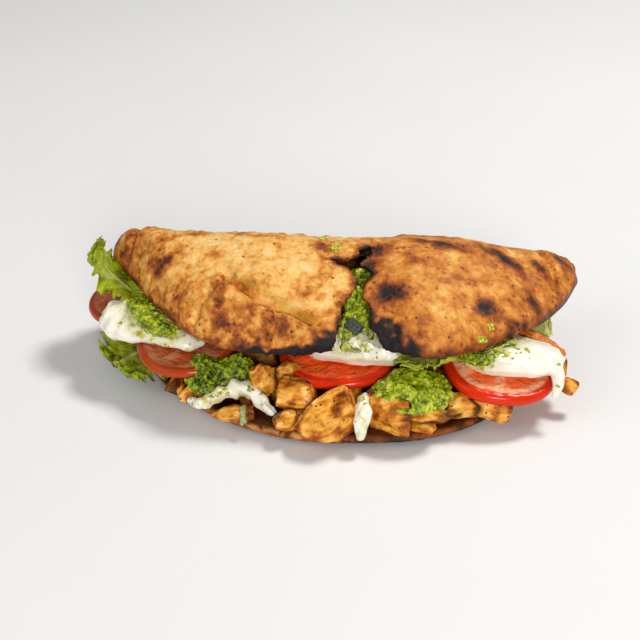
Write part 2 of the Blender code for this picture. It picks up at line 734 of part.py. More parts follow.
def thin_sheet(name, path, half_widths, across, wave_height, wave_count, thickness, mat, columns=9, rows=6):
    """Thin wavy solid on a midrib: its frill grows towards the rim, both faces are split alike."""
    side = Vector(across).normalized()
    rows_of_path = [p + (w,) for p, w in zip(path, half_widths)]
    spine = catmull_rom(rows_of_path, 12)
    grid = []
    for i in range(columns + 1):
        k = round(i / columns * (len(spine) - 1))
        x, y, z, half = spine[k]
        along = Vector(spine[min(k + 1, len(spine) - 1)][:3]) - Vector(spine[max(k - 1, 0)][:3])
        face = along.cross(side).normalized()
        taper = 0.6 if i in (0, columns) else 1
        row = []
        for j in range(rows + 1):
            v = 2 * j / rows - 1
            frill = math.sin(2 * math.pi * wave_count * i / columns + 2.2 * v) * abs(v) ** 1.5
            lip = math.sin(2.6 * math.pi * v + 0.5) * (i / columns) ** 3
            rise = wave_height * (0.8 * frill + 0.7 * lip)
            row.append(Vector((x, y, z)) + face * rise + side * half * taper * v)
        grid.append(row)
    bm = bmesh.new()
    upper, lower = [], []
    for i in range(columns + 1):
        upper_row, lower_row = [], []
        for j in range(rows + 1):
            di = grid[min(i + 1, columns)][j] - grid[max(i - 1, 0)][j]
            dj = grid[i][min(j + 1, rows)] - grid[i][max(j - 1, 0)]
            normal = di.cross(dj).normalized()
            upper_row.append(bm.verts.new(grid[i][j] + normal * thickness / 2))
            lower_row.append(bm.verts.new(grid[i][j] - normal * thickness / 2))
        upper.append(upper_row)
        lower.append(lower_row)
    for i in range(columns):
        for j in range(rows):
            for sheet, turn in ((upper, 1), (lower, -1)):
                a, b, c, d = sheet[i][j], sheet[i + 1][j], sheet[i + 1][j + 1], sheet[i][j + 1]
                bm.faces.new((a, b, c)[::turn])
                bm.faces.new((a, c, d)[::turn])
    walk = [(i, 0) for i in range(columns)] + [(columns, j) for j in range(rows)]
    walk += [(i, rows) for i in range(columns, 0, -1)] + [(0, j) for j in range(rows, 0, -1)]
    for (i, j), (k, m) in zip(walk, walk[1:] + walk[:1]):
        bm.faces.new((upper[k][m], upper[i][j], lower[i][j], lower[k][m]))
    return add_object(name, bm, mat)


def heap_top(x, y):
    """Top of the chicken heap: low at the mouth, rising under the crest, below the upper flap."""
    t = min(max((y + 44) / 34, 0), 1)
    free = upper_skin(x, min(y, 10)) - UPPER_THICKNESS - 4
    return min(HEAP_MOUTH + (HEAP_BACK - HEAP_MOUTH) * t * t * (3 - 2 * t), free)


def tear_filling_top(x, y):
    """Top of the pesto in the tear: it stays a set depth below the crust round it."""
    return upper_skin(x, y) - PESTO["pesto_tear"][2]


def swelling_top(name, flat):
    """Height of a heap's top, as a function of x and y: its flat height and the swells on it."""
    def top(x, y):
        total = flat
        for px, py, reach, height in SWELLS.get(name, []):
            total += height * math.exp(-((x - px) ** 2 + (y - py) ** 2) / reach ** 2)
        return total
    return top


def build_chicken(neighbours):
    core = mound("core", HEAP_OUTLINE, HEAP_FLOOR, heap_top, 3.0, CHICKEN, rings=3, count=20, bump=(12, 2.5))
    parts = [core]
    for index, (centre, size, turn, tilt) in enumerate(CHICKEN_PIECES):
        detail = 2 if max(size) > LARGE_PIECE else 1
        parts.append(lump("piece", centre, size, turn, tilt, detail, CHICKEN, index + 1))
    chicken = fuse(parts, "chicken")
    join_flat_faces(chicken.data, COARSE_ANGLE)
    return fit_to(chicken, neighbours)


def clear_scene():
    for obj in list(bpy.data.objects):
        bpy.data.objects.remove(obj, do_unlink=True)


def stand_on_origin():
    """Move everything so that the bottom centre of the bounding box is the origin."""
    corners = [v.co for obj in bpy.data.objects for v in obj.data.vertices]
    low = Vector([min(c[axis] for c in corners) for axis in range(3)])
    high = Vector([max(c[axis] for c in corners) for axis in range(3)])
    shift = Vector((-(low.x + high.x) / 2, -(low.y + high.y) / 2, -low.z))
    for obj in bpy.data.objects:
        obj.data.transform(Matrix.Translation(shift))
    return shift


clear_scene()
BREAD = material("baked_crust", (0.62, 0.34, 0.14), 0.7)
TOMATO = material("tomato", (0.75, 0.06, 0.03), 0.25)
CHICKEN = material("chicken", (0.66, 0.32, 0.10), 0.45)
MOZZARELLA_SKIN = material("mozzarella", (0.86, 0.82, 0.70), 0.3)
PESTO_GREEN = material("pesto", (0.16, 0.27, 0.03), 0.4)
LEAF_GREEN = material("lettuce", (0.28, 0.48, 0.06), 0.45)
BASIL_GREEN = material("basil", (0.03, 0.09, 0.03), 0.3)
PEPPER_ORANGE = material("pepper", (0.80, 0.25, 0.04), 0.35)
ONION_PALE = material("onion", (0.72, 0.76, 0.60), 0.3)

STRIP_SKINS = {"pepper_strip": PEPPER_ORANGE, "onion_piece": ONION_PALE, "basil_leaf": BASIL_GREEN}


def place_strip(name):
    path, width, thickness = STRIPS[name]
    halves = [width / 2] * len(path)
    strip = thin_sheet(name, path, halves, (0.5, 0.8, 0.1), 0.4, 1.0, thickness, STRIP_SKINS[name], 6, 4)
    placed.append(fit_to(strip, placed, thin=True))


def place_pesto(name):
    outline, low, high, roundness = PESTO[name]
    top = tear_filling_top if name == "pesto_tear" else swelling_top(name, high)
    heap = mound(name, outline, low, top, roundness, PESTO_GREEN, bump=(5, 3.2))
    placed.append(fit_to(heap, placed))


placed = [build_bread()]
for slice_name, sizes in TOMATOES.items():
    placed.append(fit_to(tomato_slice(slice_name, *sizes), placed))
for leaf_name, (path, halves, across, wave, waves) in LEAVES.items():
    leaf = thin_sheet(leaf_name, path, halves, across, wave, waves, 1.0, LEAF_GREEN)
    placed.append(fit_to(leaf, placed, thin=True))
for run_name, (path, radii) in MOZZARELLA_RUNS.items():
    placed.append(fit_to(run_of_cheese(run_name, path, radii), placed))
place_strip("onion_piece")
placed.append(build_chicken(placed))
place_pesto("pesto_tear")
for cheese_name, (outline, low, high, roundness) in MOZZARELLA.items():
    cheese = mound(cheese_name, outline, low, swelling_top(cheese_name, high), roundness, MOZZARELLA_SKIN)
    if cheese_name in MOZZARELLA_DROOPS:
        cheese = fuse([cheese, run_of_cheese("droop", *MOZZARELLA_DROOPS[cheese_name])], cheese_name)
    placed.append(fit_to(cheese, placed))
place_strip("pepper_strip")
place_strip("basil_leaf")
for pesto_name in PESTO:
    if pesto_name != "pesto_tear":
        place_pesto(pesto_name)
to_origin = stand_on_origin()
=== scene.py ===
import math
import random

import bmesh
import bpy
import numpy as np
from mathutils import Matrix, Vector, noise
from mathutils.bvhtree import BVHTree


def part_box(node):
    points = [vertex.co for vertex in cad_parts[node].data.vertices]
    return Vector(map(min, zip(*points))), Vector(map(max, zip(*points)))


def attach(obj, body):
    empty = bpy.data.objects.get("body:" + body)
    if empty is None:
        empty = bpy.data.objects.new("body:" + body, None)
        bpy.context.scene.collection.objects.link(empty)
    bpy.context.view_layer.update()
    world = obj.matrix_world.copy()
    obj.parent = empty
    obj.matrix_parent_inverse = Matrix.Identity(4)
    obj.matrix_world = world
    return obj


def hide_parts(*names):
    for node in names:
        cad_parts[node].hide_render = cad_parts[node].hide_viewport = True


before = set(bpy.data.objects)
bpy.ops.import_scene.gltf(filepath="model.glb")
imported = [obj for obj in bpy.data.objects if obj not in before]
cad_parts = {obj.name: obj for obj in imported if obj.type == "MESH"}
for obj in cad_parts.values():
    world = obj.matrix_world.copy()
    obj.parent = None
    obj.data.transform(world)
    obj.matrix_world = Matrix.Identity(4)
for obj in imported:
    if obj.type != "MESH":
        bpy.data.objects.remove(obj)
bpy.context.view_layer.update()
mm = 0.001
mergeDistance = 1e-6     # closer points of a solid's loose triangles are one

# Bread sections: x, lower rim y, fold y, underside z, crest z, crest y, upper rim y, upper rim z.
breadShape = {
    "stations": [
        (-107, 30, 40, 26, 50, 33, 29, 44), (-98, 14, 43, 9, 59, 27, 15, 42),
        (-84, -18, 43, 2, 66, 15, -10, 41), (-62, -46, 42, 0, 68, 4, -42, 40),
        (-36, -66, 41, 0, 70, -2, -56, 38), (-8, -77, 40, 0, 69, -4, -60, 38),
        (20, -79, 40, 0, 68, -4, -57, 40), (48, -76, 40, 0, 68, -4, -65, 40),
        (76, -62, 40, 0, 65, 0, -55, 39), (100, -36, 39, 2, 57, 8, -35, 38),
        (109, -16, 37, 6, 53, 13, -25, 36.5), (116, 3, 34, 18, 49, 17, -14, 35),
        (125, 12, 31, 28, 44, 21, 2, 33), (133, 19, 27, 33, 41, 23, 17, 36),
    ],
    "lowerThickness": 5.5,
    "foldThickness": 8.0,
    "upperThickness": 7.5,
    "edgeRounding": 4.5,
    "tearTaper": 5.0,
    "flatBelow": 1.0,
    "columns": 250,
    "lowerRows": 26,
    "upperRows": 150,
    "upperFrom": 0.53,       # share of the way round where the fine rows begin
    "tear": [
        (5.8, -17.0), (9.6, -20.2), (13.8, -21.2), (16.2, -24.3), (18.4, -28.9), (17.2, -32.0),
        (13.6, -36.9), (9.8, -42.3), (9.0, -50.0), (6.5, -58.0), (5.5, -75.0), (36.0, -75.0),
        (33.0, -62.0), (28.9, -57.8), (26.7, -53.3), (23.6, -49.8), (24.1, -44.9), (23.3, -40.6),
        (21.1, -36.9), (20.4, -33.5), (21.7, -29.5), (26.1, -25.0), (23.8, -21.8), (20.1, -19.2),
        (25.1, -11.9), (24.3, -6.0), (18.8, -11.8), (15.4, -14.3), (11.5, -16.0),
    ],
    # folds: path, reach, depth, height of the side that laps over, which is on the right of the path
    "creases": [
        ([(-42, -27), (-35, -32.5), (-28, -38), (-20, -40.5), (-12, -42), (-4, -47)], 4.4, 5.2, 3.6),
        ([(-60, -44), (-56, -36), (-51, -31), (-44, -27)], 4.0, 3.0, 2.0),
        ([(-19, -42), (-21, -48), (-24, -55)], 3.0, 1.6, 0.7),
        ([(-101, 8), (-95, 17), (-89, 25)], 3.5, 3.2, 1.5),
        ([(119, 0), (116, 12), (112, 25)], 3.0, 2.6, 1.6),
        ([(106, -2), (111, -10), (113, -18)], 2.4, 1.5, 0.6),
        ([(100, 4), (103, -8), (104, -18)], 2.4, 0.9, 0.5),
    ],
    "pillows": [
        (-44, -40, 15, 3.5), (-24, -30, 10, 2.5), (-100, 24, 9, 2.5), (125, 14, 9, 3.5),
        (50, -30, 22, 2.0), (84, -32, 14, 1.5), (-70, -12, 15, 1.6), (-20, -8, 18, 1.0),
    ],
    # places baked darker, and with a negative amount paler; the first entry is painted light, making the top of the
    # right half paler where less light falls: x, y, reach, how much
    "bakingAndPaintedLight": [
        # painted light: the first entry, at x 52, y 18, makes the top of the right half paler
        (52, 18, 22, -0.07), (-36, -52, 16, 0.10), (-8, -56, 14, 0.06), (-96, 8, 18, 0.13),
        (-66, -26, 16, 0.07), (106, -20, 20, 0.06), (-48, -36, 7, 0.05), (-40, -8, 22, -0.08),
        (-14, -24, 14, -0.05), (-30, -43, 6, -0.12),
    ],
    "blisters": 260,
    "seed": 11,
}
stations = breadShape["stations"]
breadLow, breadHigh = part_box("bread")
origin = Vector((breadHigh[0] - stations[-1][0] * mm, breadLow[1] - min(row[1] for row in stations) * mm, 0))


def onFrame(points):
    return [tuple(origin + Vector(p) * mm) for p in points]


# lines and tables
def smoothTable(rows, x):
    last = len(rows) - 1
    x = min(max(x, rows[0][0]), rows[last][0])
    k = 0
    while k < last - 1 and x > rows[k + 1][0]:
        k += 1
    a, b = rows[k], rows[k + 1]
    before, after = rows[max(k - 1, 0)], rows[min(k + 2, last)]
    span = b[0] - a[0]
    t = (x - a[0]) / span
    values = []
    for c in range(1, len(a)):
        slopeA = (b[c] - before[c]) / (b[0] - before[0]) * span
        slopeB = (after[c] - a[c]) / (after[0] - a[0]) * span
        values.append((2 * t ** 3 - 3 * t ** 2 + 1) * a[c] + (t ** 3 - 2 * t ** 2 + t) * slopeA
                      + (3 * t ** 2 - 2 * t ** 3) * b[c] + (t ** 3 - t ** 2) * slopeB)
    return values


def smoothLine(points, steps):
    ends = [points[0]] + list(points) + [points[-1]]
    line = []
    for k in range(1, len(ends) - 2):
        p0, p1, p2, p3 = ends[k - 1:k + 3]
        for i in range(steps):
            t = i / steps
            line.append(tuple(
                0.5 * (2 * p1[c] + (p2[c] - p0[c]) * t
                       + (2 * p0[c] - 5 * p1[c] + 4 * p2[c] - p3[c]) * t ** 2
                       + (3 * p1[c] - p0[c] - 3 * p2[c] + p3[c]) * t ** 3)
                for c in range(len(p1))))
    line.append(tuple(points[-1]))
    return line


def sectionLine(x):
    lowerY, foldY, lowZ, crestZ, crestY, upperY, upperZ = smoothTable(stations, x)
    middleZ = crestZ - breadShape["upperThickness"] / 2
    floorZ = lowZ + breadShape["lowerThickness"] / 2
    height = crestZ - floorZ
    return smoothLine([
        (lowerY, floorZ + 1.5),
        (lowerY + 0.3 * (foldY - lowerY), floorZ),
        (lowerY + 0.75 * (foldY - lowerY), floorZ + 0.5),
        (foldY - 4, floorZ + 0.18 * height),
        (foldY - 3, floorZ + 0.48 * height),
        (crestY + 0.62 * (foldY - crestY), floorZ + 0.78 * height),
        (crestY, middleZ),
        (crestY + 0.5 * (upperY - crestY), upperZ + 0.70 * (middleZ - upperZ)),
        (upperY, upperZ),
    ], 14)


def alongLine(line, shares):
    # point, outward normal, distance from the start and whole length at each share of the way
    points = np.array(line)
    steps = np.hypot(*np.diff(points, axis=0).T)
    lengths = np.concatenate([[0], np.cumsum(steps)])
    total = lengths[-1]
    found = []
    for share in shares:
        d = share * total
        k = int(np.clip(np.searchsorted(lengths, d, side="right") - 1, 0, len(steps) - 1))
        t = (d - lengths[k]) / max(steps[k], 1e-9)
        point = points[k] * (1 - t) + points[k + 1] * t
        tangent = points[min(k + 3, len(points) - 1)] - points[max(k - 2, 0)]
        tangent /= np.hypot(*tangent)
        found.append((point, (tangent[1], -tangent[0]), d, total))
    return found


def besidePath(x, y, path):
    # distance from a path, and 1 on its left or -1 on its right; x and y are arrays
    best = np.full(np.shape(x), 1e9)
    side = np.ones(np.shape(x))
    for (ax, ay), (bx, by) in zip(path, path[1:]):
        dx, dy = bx - ax, by - ay
        t = np.clip(((x - ax) * dx + (y - ay) * dy) / (dx * dx + dy * dy), 0, 1)
        away = np.hypot(x - ax - t * dx, y - ay - t * dy)
        turn = np.sign(dx * (y - ay) - dy * (x - ax))
        side = np.where(away < best, turn, side)
        best = np.minimum(best, away)
    return best, side


def noiseAt(points, size, offset=(0, 0, 0)):
    # smooth noise from -1 to 1 at rows of points, with lumps of about that size
    shift = Vector(offset)
    return np.array([noise.noise(Vector(p) / size + shift) for p in points])


# meshes
def linkObject(name, mesh):
    thing = bpy.data.objects.new(name, mesh)
    bpy.context.scene.collection.objects.link(thing)
    return thing


def meshFrom(name, points, faces, attributes=None):
    mesh = bpy.data.meshes.new(name)
    mesh.from_pydata([tuple(p) for p in points], [], [tuple(f) for f in faces])
    for key, values in (attributes or {}).items():
        layer = mesh.attributes.new(key, "FLOAT", "POINT")
        layer.data.foreach_set("value", np.asarray(values, dtype=np.float32))
    mesh.update()
    return mesh


def turnOut(mesh):
    work = bmesh.new()
    work.from_mesh(mesh)
    bmesh.ops.recalc_face_normals(work, faces=work.faces)
    work.to_mesh(mesh)
    work.free()


def points3(mesh):
    flat = np.empty(len(mesh.vertices) * 3)
    mesh.vertices.foreach_get("co", flat)
    return flat.reshape(-1, 3)


def tablePoints(mesh):
    # in millimetres on the table's axes
    return (points3(mesh) - np.array(origin)) / mm


def normals3(mesh):
    return np.array([v.normal[:] for v in mesh.vertices])


def setPoints(mesh, points):
    mesh.vertices.foreach_set("co", np.asarray(points, dtype=np.float32).ravel())
    mesh.update()


def setAttribute(mesh, key, values):
    layer = mesh.attributes.get(key) or mesh.attributes.new(key, "FLOAT", "POINT")
    layer.data.foreach_set("value", np.asarray(values, dtype=np.float32))


def fairSurface(mesh, passes):
    # smooths facets away without shrinking the form
    edges = np.empty(len(mesh.edges) * 2, dtype=np.int64)
    mesh.edges.foreach_get("vertices", edges)
    a, b = edges.reshape(-1, 2).T
    points = points3(mesh)
    count = np.maximum(np.bincount(np.concatenate([a, b]), minlength=len(points)), 1)[:, None]
    for k in range(passes):
        for share in (0.5, -0.52):
            mean = np.zeros_like(points)
            for c in range(3):
                mean[:, c] = np.bincount(a, points[b, c], len(points))
                mean[:, c] += np.bincount(b, points[a, c], len(points))
            points = points + share * (mean / count - points)
    setPoints(mesh, points)


def mergedSolid(node):
    # the node's own solid, with its loose triangles joined
    work = bmesh.new()
    work.from_mesh(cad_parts[node].data)
    bmesh.ops.remove_doubles(work, verts=work.verts, dist=mergeDistance)
    return work


def nodeSurface(node):
    work = mergedSolid(node)
    tree = BVHTree.FromBMesh(work)
    work.free()
    return tree


def keepWithin(mesh, node, slack, thin=False):
    # pulls back what stands further out of the node's solid than the slack, in metres
    tree = nodeSurface(node)
    points = points3(mesh)
    for k, p in enumerate(points):
        place, normal, index, distance = tree.find_nearest(Vector(p))
        if distance > slack:
            out = Vector(p) - place
            if thin or out.dot(normal) > 0:
                points[k] = place + out.normalized() * slack
    setPoints(mesh, points)


def refinedCopy(node, name, voxel, passes):
    # finer, faired mesh of a node's own solid
    work = mergedSolid(node)
    mesh = bpy.data.meshes.new(name)
    work.to_mesh(mesh)
    work.free()
    piece = linkObject(name, mesh)
    remesh = piece.modifiers.new("remesh", "REMESH")
    remesh.mode = "VOXEL"
    remesh.voxel_size = voxel
    graph = bpy.context.evaluated_depsgraph_get()
    fine = bpy.data.meshes.new_from_object(piece.evaluated_get(graph))
    piece.modifiers.clear()
    piece.data = fine
    fairSurface(fine, passes)
    return piece


def pushOut(mesh, heights):
    # moves each point along its normal by a height in millimetres
    setPoints(mesh, points3(mesh) + normals3(mesh) * np.asarray(heights)[:, None] * mm)


def finishPiece(piece, material, slotName, *nodes):
    piece.data.materials.clear()
    piece.data.materials.append(material)
    piece.data.shade_smooth()
    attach(piece, "root")
    if nodes:
        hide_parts(*nodes)
    return piece


# shader helpers
def addNode(tree, kind, inputs=None, **settings):
    node = tree.nodes.new(kind)
    for key, value in settings.items():
        setattr(node, key, value)
    for key, value in (inputs or {}).items():
        if isinstance(value, bpy.types.NodeSocket):
            tree.links.new(value, node.inputs[key])
        else:
            node.inputs[key].default_value = value
    return node


def mixColour(tree, factor, a, b, blend="MIX"):
    node = tree.nodes.new("ShaderNodeMix")
    node.data_type = "RGBA"
    node.blend_type = blend
    for index, value in ((0, factor), (6, a), (7, b)):
        if isinstance(value, bpy.types.NodeSocket):
            tree.links.new(value, node.inputs[index])
        elif index == 0:
            node.inputs[0].default_value = value
        else:
            node.inputs[index].default_value = (*value, 1)
    return node.outputs[2]


def calc(tree, operation, a, b=0.0, clamp=False):
    return addNode(tree, "ShaderNodeMath", {0: a, 1: b}, operation=operation, use_clamp=clamp).outputs[0]


def times(tree, a, b):
    return calc(tree, "MULTIPLY", a, b)


def plus(tree, a, b, share, clamp=False):
    # a and that share of b
    return calc(tree, "ADD", a, times(tree, b, share), clamp)


def remap(tree, value, low, high, start=0.0, end=1.0, smooth=False):
    # start at the low value, end at the high one
    return addNode(tree, "ShaderNodeMapRange", {
        "Value": value, "From Min": low, "From Max": high, "To Min": start, "To Max": end},
        interpolation_type="SMOOTHSTEP" if smooth else "LINEAR").outputs["Result"]


def fineNoise(tree, place, scale, detail):
    return addNode(tree, "ShaderNodeTexNoise", {"Vector": place, "Scale": scale, "Detail": detail}).outputs["Fac"]


def cellDots(tree, place, scale, inner, outer, channel, rare):
    # soft round dots in the few cells whose own colour is past the rare level
    cells = addNode(tree, "ShaderNodeTexVoronoi", {"Vector": place, "Scale": scale})
    dot = remap(tree, cells.outputs["Distance"], inner, outer, 1.0, 0.0, smooth=True)
    chosen = addNode(tree, "ShaderNodeSeparateColor", {"Color": cells.outputs["Color"]}).outputs[channel]
    return times(tree, dot, calc(tree, "GREATER_THAN", chosen, rare))


def attributeValue(tree, name):
    return addNode(tree, "ShaderNodeAttribute", attribute_name=name).outputs["Fac"]


def unevenGroup():
    # patchy mask: lumps of noise between two levels
    group = bpy.data.node_groups.new("unevenMask", "ShaderNodeTree")
    face = group.interface
    face.new_socket("Vector", in_out="INPUT", socket_type="NodeSocketVector")
    for key, value in (("Scale", 60.0), ("Detail", 4.0), ("Roughness", 0.55), ("Low", 0.4), ("High", 0.6)):
        face.new_socket(key, in_out="INPUT", socket_type="NodeSocketFloat").default_value = value
    face.new_socket("Mask", in_out="OUTPUT", socket_type="NodeSocketFloat")
    start = group.nodes.new("NodeGroupInput")
    end = group.nodes.new("NodeGroupOutput")
    texture = addNode(group, "ShaderNodeTexNoise", {
        "Vector": start.outputs["Vector"], "Scale": start.outputs["Scale"],
        "Detail": start.outputs["Detail"], "Roughness": start.outputs["Roughness"]})
    level = addNode(group, "ShaderNodeMapRange", {
        "Value": texture.outputs["Fac"], "From Min": start.outputs["Low"],
        "From Max": start.outputs["High"]}, interpolation_type="SMOOTHSTEP")
    group.links.new(level.outputs["Result"], end.inputs["Mask"])
    return group


uneven = unevenGroup()


def patches(tree, place, size, low=0.4, high=0.6, detail=4.0, rough=0.55, shift=(0, 0, 0)):
    # size is the width of a patch in millimetres
    moved = addNode(tree, "ShaderNodeMapping", {"Vector": place, "Location": shift}).outputs["Vector"]
    node = addNode(tree, "ShaderNodeGroup", node_tree=uneven)
    tree.links.new(moved, node.inputs["Vector"])
    values = {"Scale": 1000 / size, "Detail": detail, "Roughness": rough, "Low": low, "High": high}
    for key, value in values.items():
        node.inputs[key].default_value = value
    return node.outputs["Mask"]


def startMaterial(name):
    material = bpy.data.materials.new(name)
    material.use_nodes = True
    tree = material.node_tree
    shader = tree.nodes["Principled BSDF"]
    place = addNode(tree, "ShaderNodeTexCoord").outputs["Object"]
    return material, tree, shader, place


def bumpFrom(tree, shader, height, distance, strength=1.0):
    bump = addNode(tree, "ShaderNodeBump", {"Height": height, "Distance": distance, "Strength": strength})
    tree.links.new(bump.outputs["Normal"], shader.inputs["Normal"])


def link(tree, socket, shader, key):
    tree.links.new(socket, shader.inputs[key])


# crust
crustLook = {
    # baking level and the colour reached there, from floury to burnt
    "baked": [
        (0.06, (0.90, 0.60, 0.24)), (0.24, (0.84, 0.45, 0.105)), (0.42, (0.64, 0.225, 0.028)),
        (0.58, (0.37, 0.092, 0.010)), (0.76, (0.115, 0.026, 0.006)), (0.92, (0.012, 0.009, 0.009)),
    ],
    # painted shade inside the pores
    "pit": (0.10, 0.028, 0.008),
    "crumb": (0.62, 0.36, 0.11),
    "oil": (0.60, 0.41, 0.040),
    # dark brown of juices, also painted shade under the lower flap's rim
    "sauceAndShade": (0.080, 0.018, 0.003),
    # how far each size of mottling, in millimetres, moves the baking level
    "mottling": [(24, 0.40), (9.5, 0.90), (4.6, 0.78), (1.8, 0.34)],
    # how far char, freckles and blisters move it
    "scorching": 0.68,
    "freckles": 0.15,
    "blisterTone": 0.13,
    "gloss": 0.25,
}


def lumps(tree, place, size, detail=2.0, rough=0.5, shift=(0, 0, 0)):
    # smooth noise round zero, with lumps of that width in millimetres
    moved = addNode(tree, "ShaderNodeMapping", {"Vector": place, "Location": shift}).outputs["Vector"]
    texture = addNode(tree, "ShaderNodeTexNoise", {
        "Vector": moved, "Scale": 1000 / size, "Detail": detail, "Roughness": rough})
    return calc(tree, "SUBTRACT", texture.outputs["Fac"], 0.5)


def colourRamp(tree, level, stops):
    node = addNode(tree, "ShaderNodeValToRGB", {"Fac": level})
    elements = node.color_ramp.elements
    while len(elements) < len(stops):
        elements.new(0.5)
    for element, (place, colour) in zip(elements, stops):
        element.position = place
        element.color = (*colour, 1)
    return node.outputs["Color"]


def crustMaterial(look):
    material, tree, shader, place = startMaterial("bakedCrust")
    level = plus(tree, attributeValue(tree, "tone"), attributeValue(tree, "char"), look["scorching"])
    for k, (size, share) in enumerate(look["mottling"]):
        mottle = lumps(tree, place, size, 3.0 if k else 2.0, 0.55, (0.3 * k, 0, 0))
        level = plus(tree, level, times(tree, mottle, share), attributeValue(tree, "mottled"))
    level = plus(tree, level, attributeValue(tree, "raised"), look["blisterTone"])
    # freckles: small browner spots
    freckle = cellDots(tree, place, 310.0, 0.16, 0.40, "Green", 0.72)
    level = plus(tree, level, freckle, look["freckles"])
    base = colourRamp(tree, level, look["baked"])
    # pores: small pits in some cells only, painted dark as the shade inside them
    pit = cellDots(tree, place, 210.0, 0.09, 0.17, "Red", 0.84)
    base = mixColour(tree, times(tree, pit, 0.85), base, look["pit"])
    inside = times(tree, attributeValue(tree, "inside"), remap(tree, level, 0.45, 0.62, 1.0, 0.0))
    base = mixColour(tree, times(tree, inside, 0.8), base, look["crumb"])
    oil = attributeValue(tree, "oil")
    base = mixColour(tree, times(tree, oil, 0.5), base, look["oil"])
    # brown juices on the lower flap's upper face, and the same colour as painted shade on its underside near the rim
    pooled = calc(tree, "ADD", times(tree, lumps(tree, place, 9, 4.0, 0.6, (0, 0.4, 0)), 2.0), 0.9, True)
    sauceAndShade = times(tree, attributeValue(tree, "sauceAndShade"), pooled)
    base = mixColour(tree, sauceAndShade, base, look["sauceAndShade"])
    link(tree, base, shader, "Base Color")
    rough = calc(tree, "ADD", times(tree, lumps(tree, place, 3), 0.5), 0.5)
    rough = calc(tree, "SUBTRACT", rough, times(tree, calc(tree, "MAXIMUM", oil, sauceAndShade), 0.28))
    link(tree, rough, shader, "Roughness")
    fine = lumps(tree, place, 1.5, 6.0, 0.6)
    dimples = lumps(tree, place, 3.6, 3.0, 0.55, (0.6, 0, 0))
    height = calc(tree, "ADD", times(tree, fine, 0.7), times(tree, dimples, 1.2))
    bumpFrom(tree, shader, calc(tree, "SUBTRACT", height, times(tree, pit, 0.9)), 0.0009, 1.0)
    shader.inputs["Specular IOR Level"].default_value = look["gloss"]
    return material


def crustRelief(x, y, z):
    places = np.stack([x, y, z], axis=-1).reshape(-1, 3)
    height = 1.5 * noiseAt(places, 26) + 0.95 * noiseAt(places, 9, (5, 0, 0))
    fine = 0.45 * noiseAt(places, 4.6, (0, 9, 0)) + 0.25 * noiseAt(places, 2.3, (0, 0, 4))
    height = (height + fine).reshape(x.shape)
    for px, py, radius, swell in breadShape["pillows"]:
        height += swell * np.exp(-((x - px) ** 2 + (y - py) ** 2) / radius ** 2)
    for path, reach, depth, lap in breadShape["creases"]:
        away, side = besidePath(x, y, path)
        height -= depth * np.exp(-(away / (0.42 * reach)) ** 2) * np.where(side < 0, 1.0, 0.55)
        height -= 0.3 * depth * np.exp(-(away / (1.5 * reach)) ** 2)
        height += lap * np.exp(-((away - reach) / reach) ** 2) * (side < 0)
    return height + blisterAt(x, y)


def blisterAt(x, y):
    # small swellings, each a little longer one way, as baked bubbles are
    draw = random.Random(breadShape["seed"])
    height = np.zeros(np.shape(x))
    for k in range(breadShape["blisters"]):
        px, py = draw.uniform(-104, 130), draw.uniform(-62, 40)
        radius, swell = draw.uniform(1.3, 3.4), draw.uniform(0.25, 0.75)
        turn, longer = draw.uniform(0, math.pi), draw.uniform(1.0, 1.9)
        u = (x - px) * math.cos(turn) + (y - py) * math.sin(turn)
        v = -(x - px) * math.sin(turn) + (y - py) * math.cos(turn)
        height = np.maximum(height, swell * np.exp(-(u / longer) ** 2 / radius ** 2 - v ** 2 / radius ** 2))
    return height


def refinedOutline(points, step, sway):
    # ragged closed outline through the points
    outline = []
    for (ax, ay), (bx, by) in zip(points, points[1:] + points[:1]):
        count = max(int(math.hypot(bx - ax, by - ay) / step), 1)
        nx, ny = -(by - ay), bx - ax
        size = math.hypot(nx, ny)
        for k in range(count):
            t = k / count
            x, y = ax + (bx - ax) * t, ay + (by - ay) * t
            wander = noise.noise(Vector((x, y, 3)) / 2.6) + 0.5 * noise.noise(Vector((x, y, 8)) / 1.1)
            wander *= sway
            outline.append((x + nx / size * wander, y + ny / size * wander))
    return outline


def insideOutline(x, y, outline):
    inside = np.zeros(x.shape, dtype=bool)
    for (ax, ay), (bx, by) in zip(outline, outline[1:] + outline[:1]):
        crosses = (ay > y) != (by > y)
        if ay != by:
            edgeX = ax + (y - ay) / (by - ay) * (bx - ax)
            inside ^= crosses & (x < edgeX)
    return inside


# Scorched places on the crust: x, y, half lengths, turn in degrees, strength.
scorchMarks = [
    (33.6, -38, 9, 5.5, -12, 0.86), (77.7, -40, 6.5, 5, 10, 0.84), (59, -2, 16, 4.5, -8, 0.72),
    (88, -3, 12, 3.5, -20, 0.72), (1, -8, 5.5, 5, 20, 0.78), (2.4, -17, 4, 3, 0, 0.62),
    (27.7, -9, 6, 6, 30, 0.74), (24, -20, 5, 4, 0, 0.70), (17, -30, 4, 6, 20, 0.47),
    (-76, -10, 6, 4, -30, 0.58), (-46, -46, 7, 3.5, -70, 0.43), (92, -43, 8, 3.5, 35, 0.25),
    (-100, 30, 5, 6, 20, 0.30), (-96, 20, 8, 3, 50, 0.36), (-60, 6, 9, 4, -10, 0.35),
    (-30, 2, 10, 3.5, 5, 0.35), (-48, -14, 7, 3, -20, 0.39), (-12, -2, 7, 3, 5, 0.31),
    (-20, -52, 6, 5, 10, 0.39), (-34, -48, 5, 4, 0, 0.35), (124, 18, 6, 5, 0, 0.58),
    (112, 2, 6, 4, -40, 0.39), (60, -32, 4, 3, 10, 0.39), (46, -20, 5, 3, 0, 0.27),
    (-40, 12, 22, 3, 2, 0.35), (40, 12, 24, 3, -3, 0.47), (-66, -30, 5, 4, 40, 0.31),
    (104, -22, 6, 4, -30, 0.39),
]
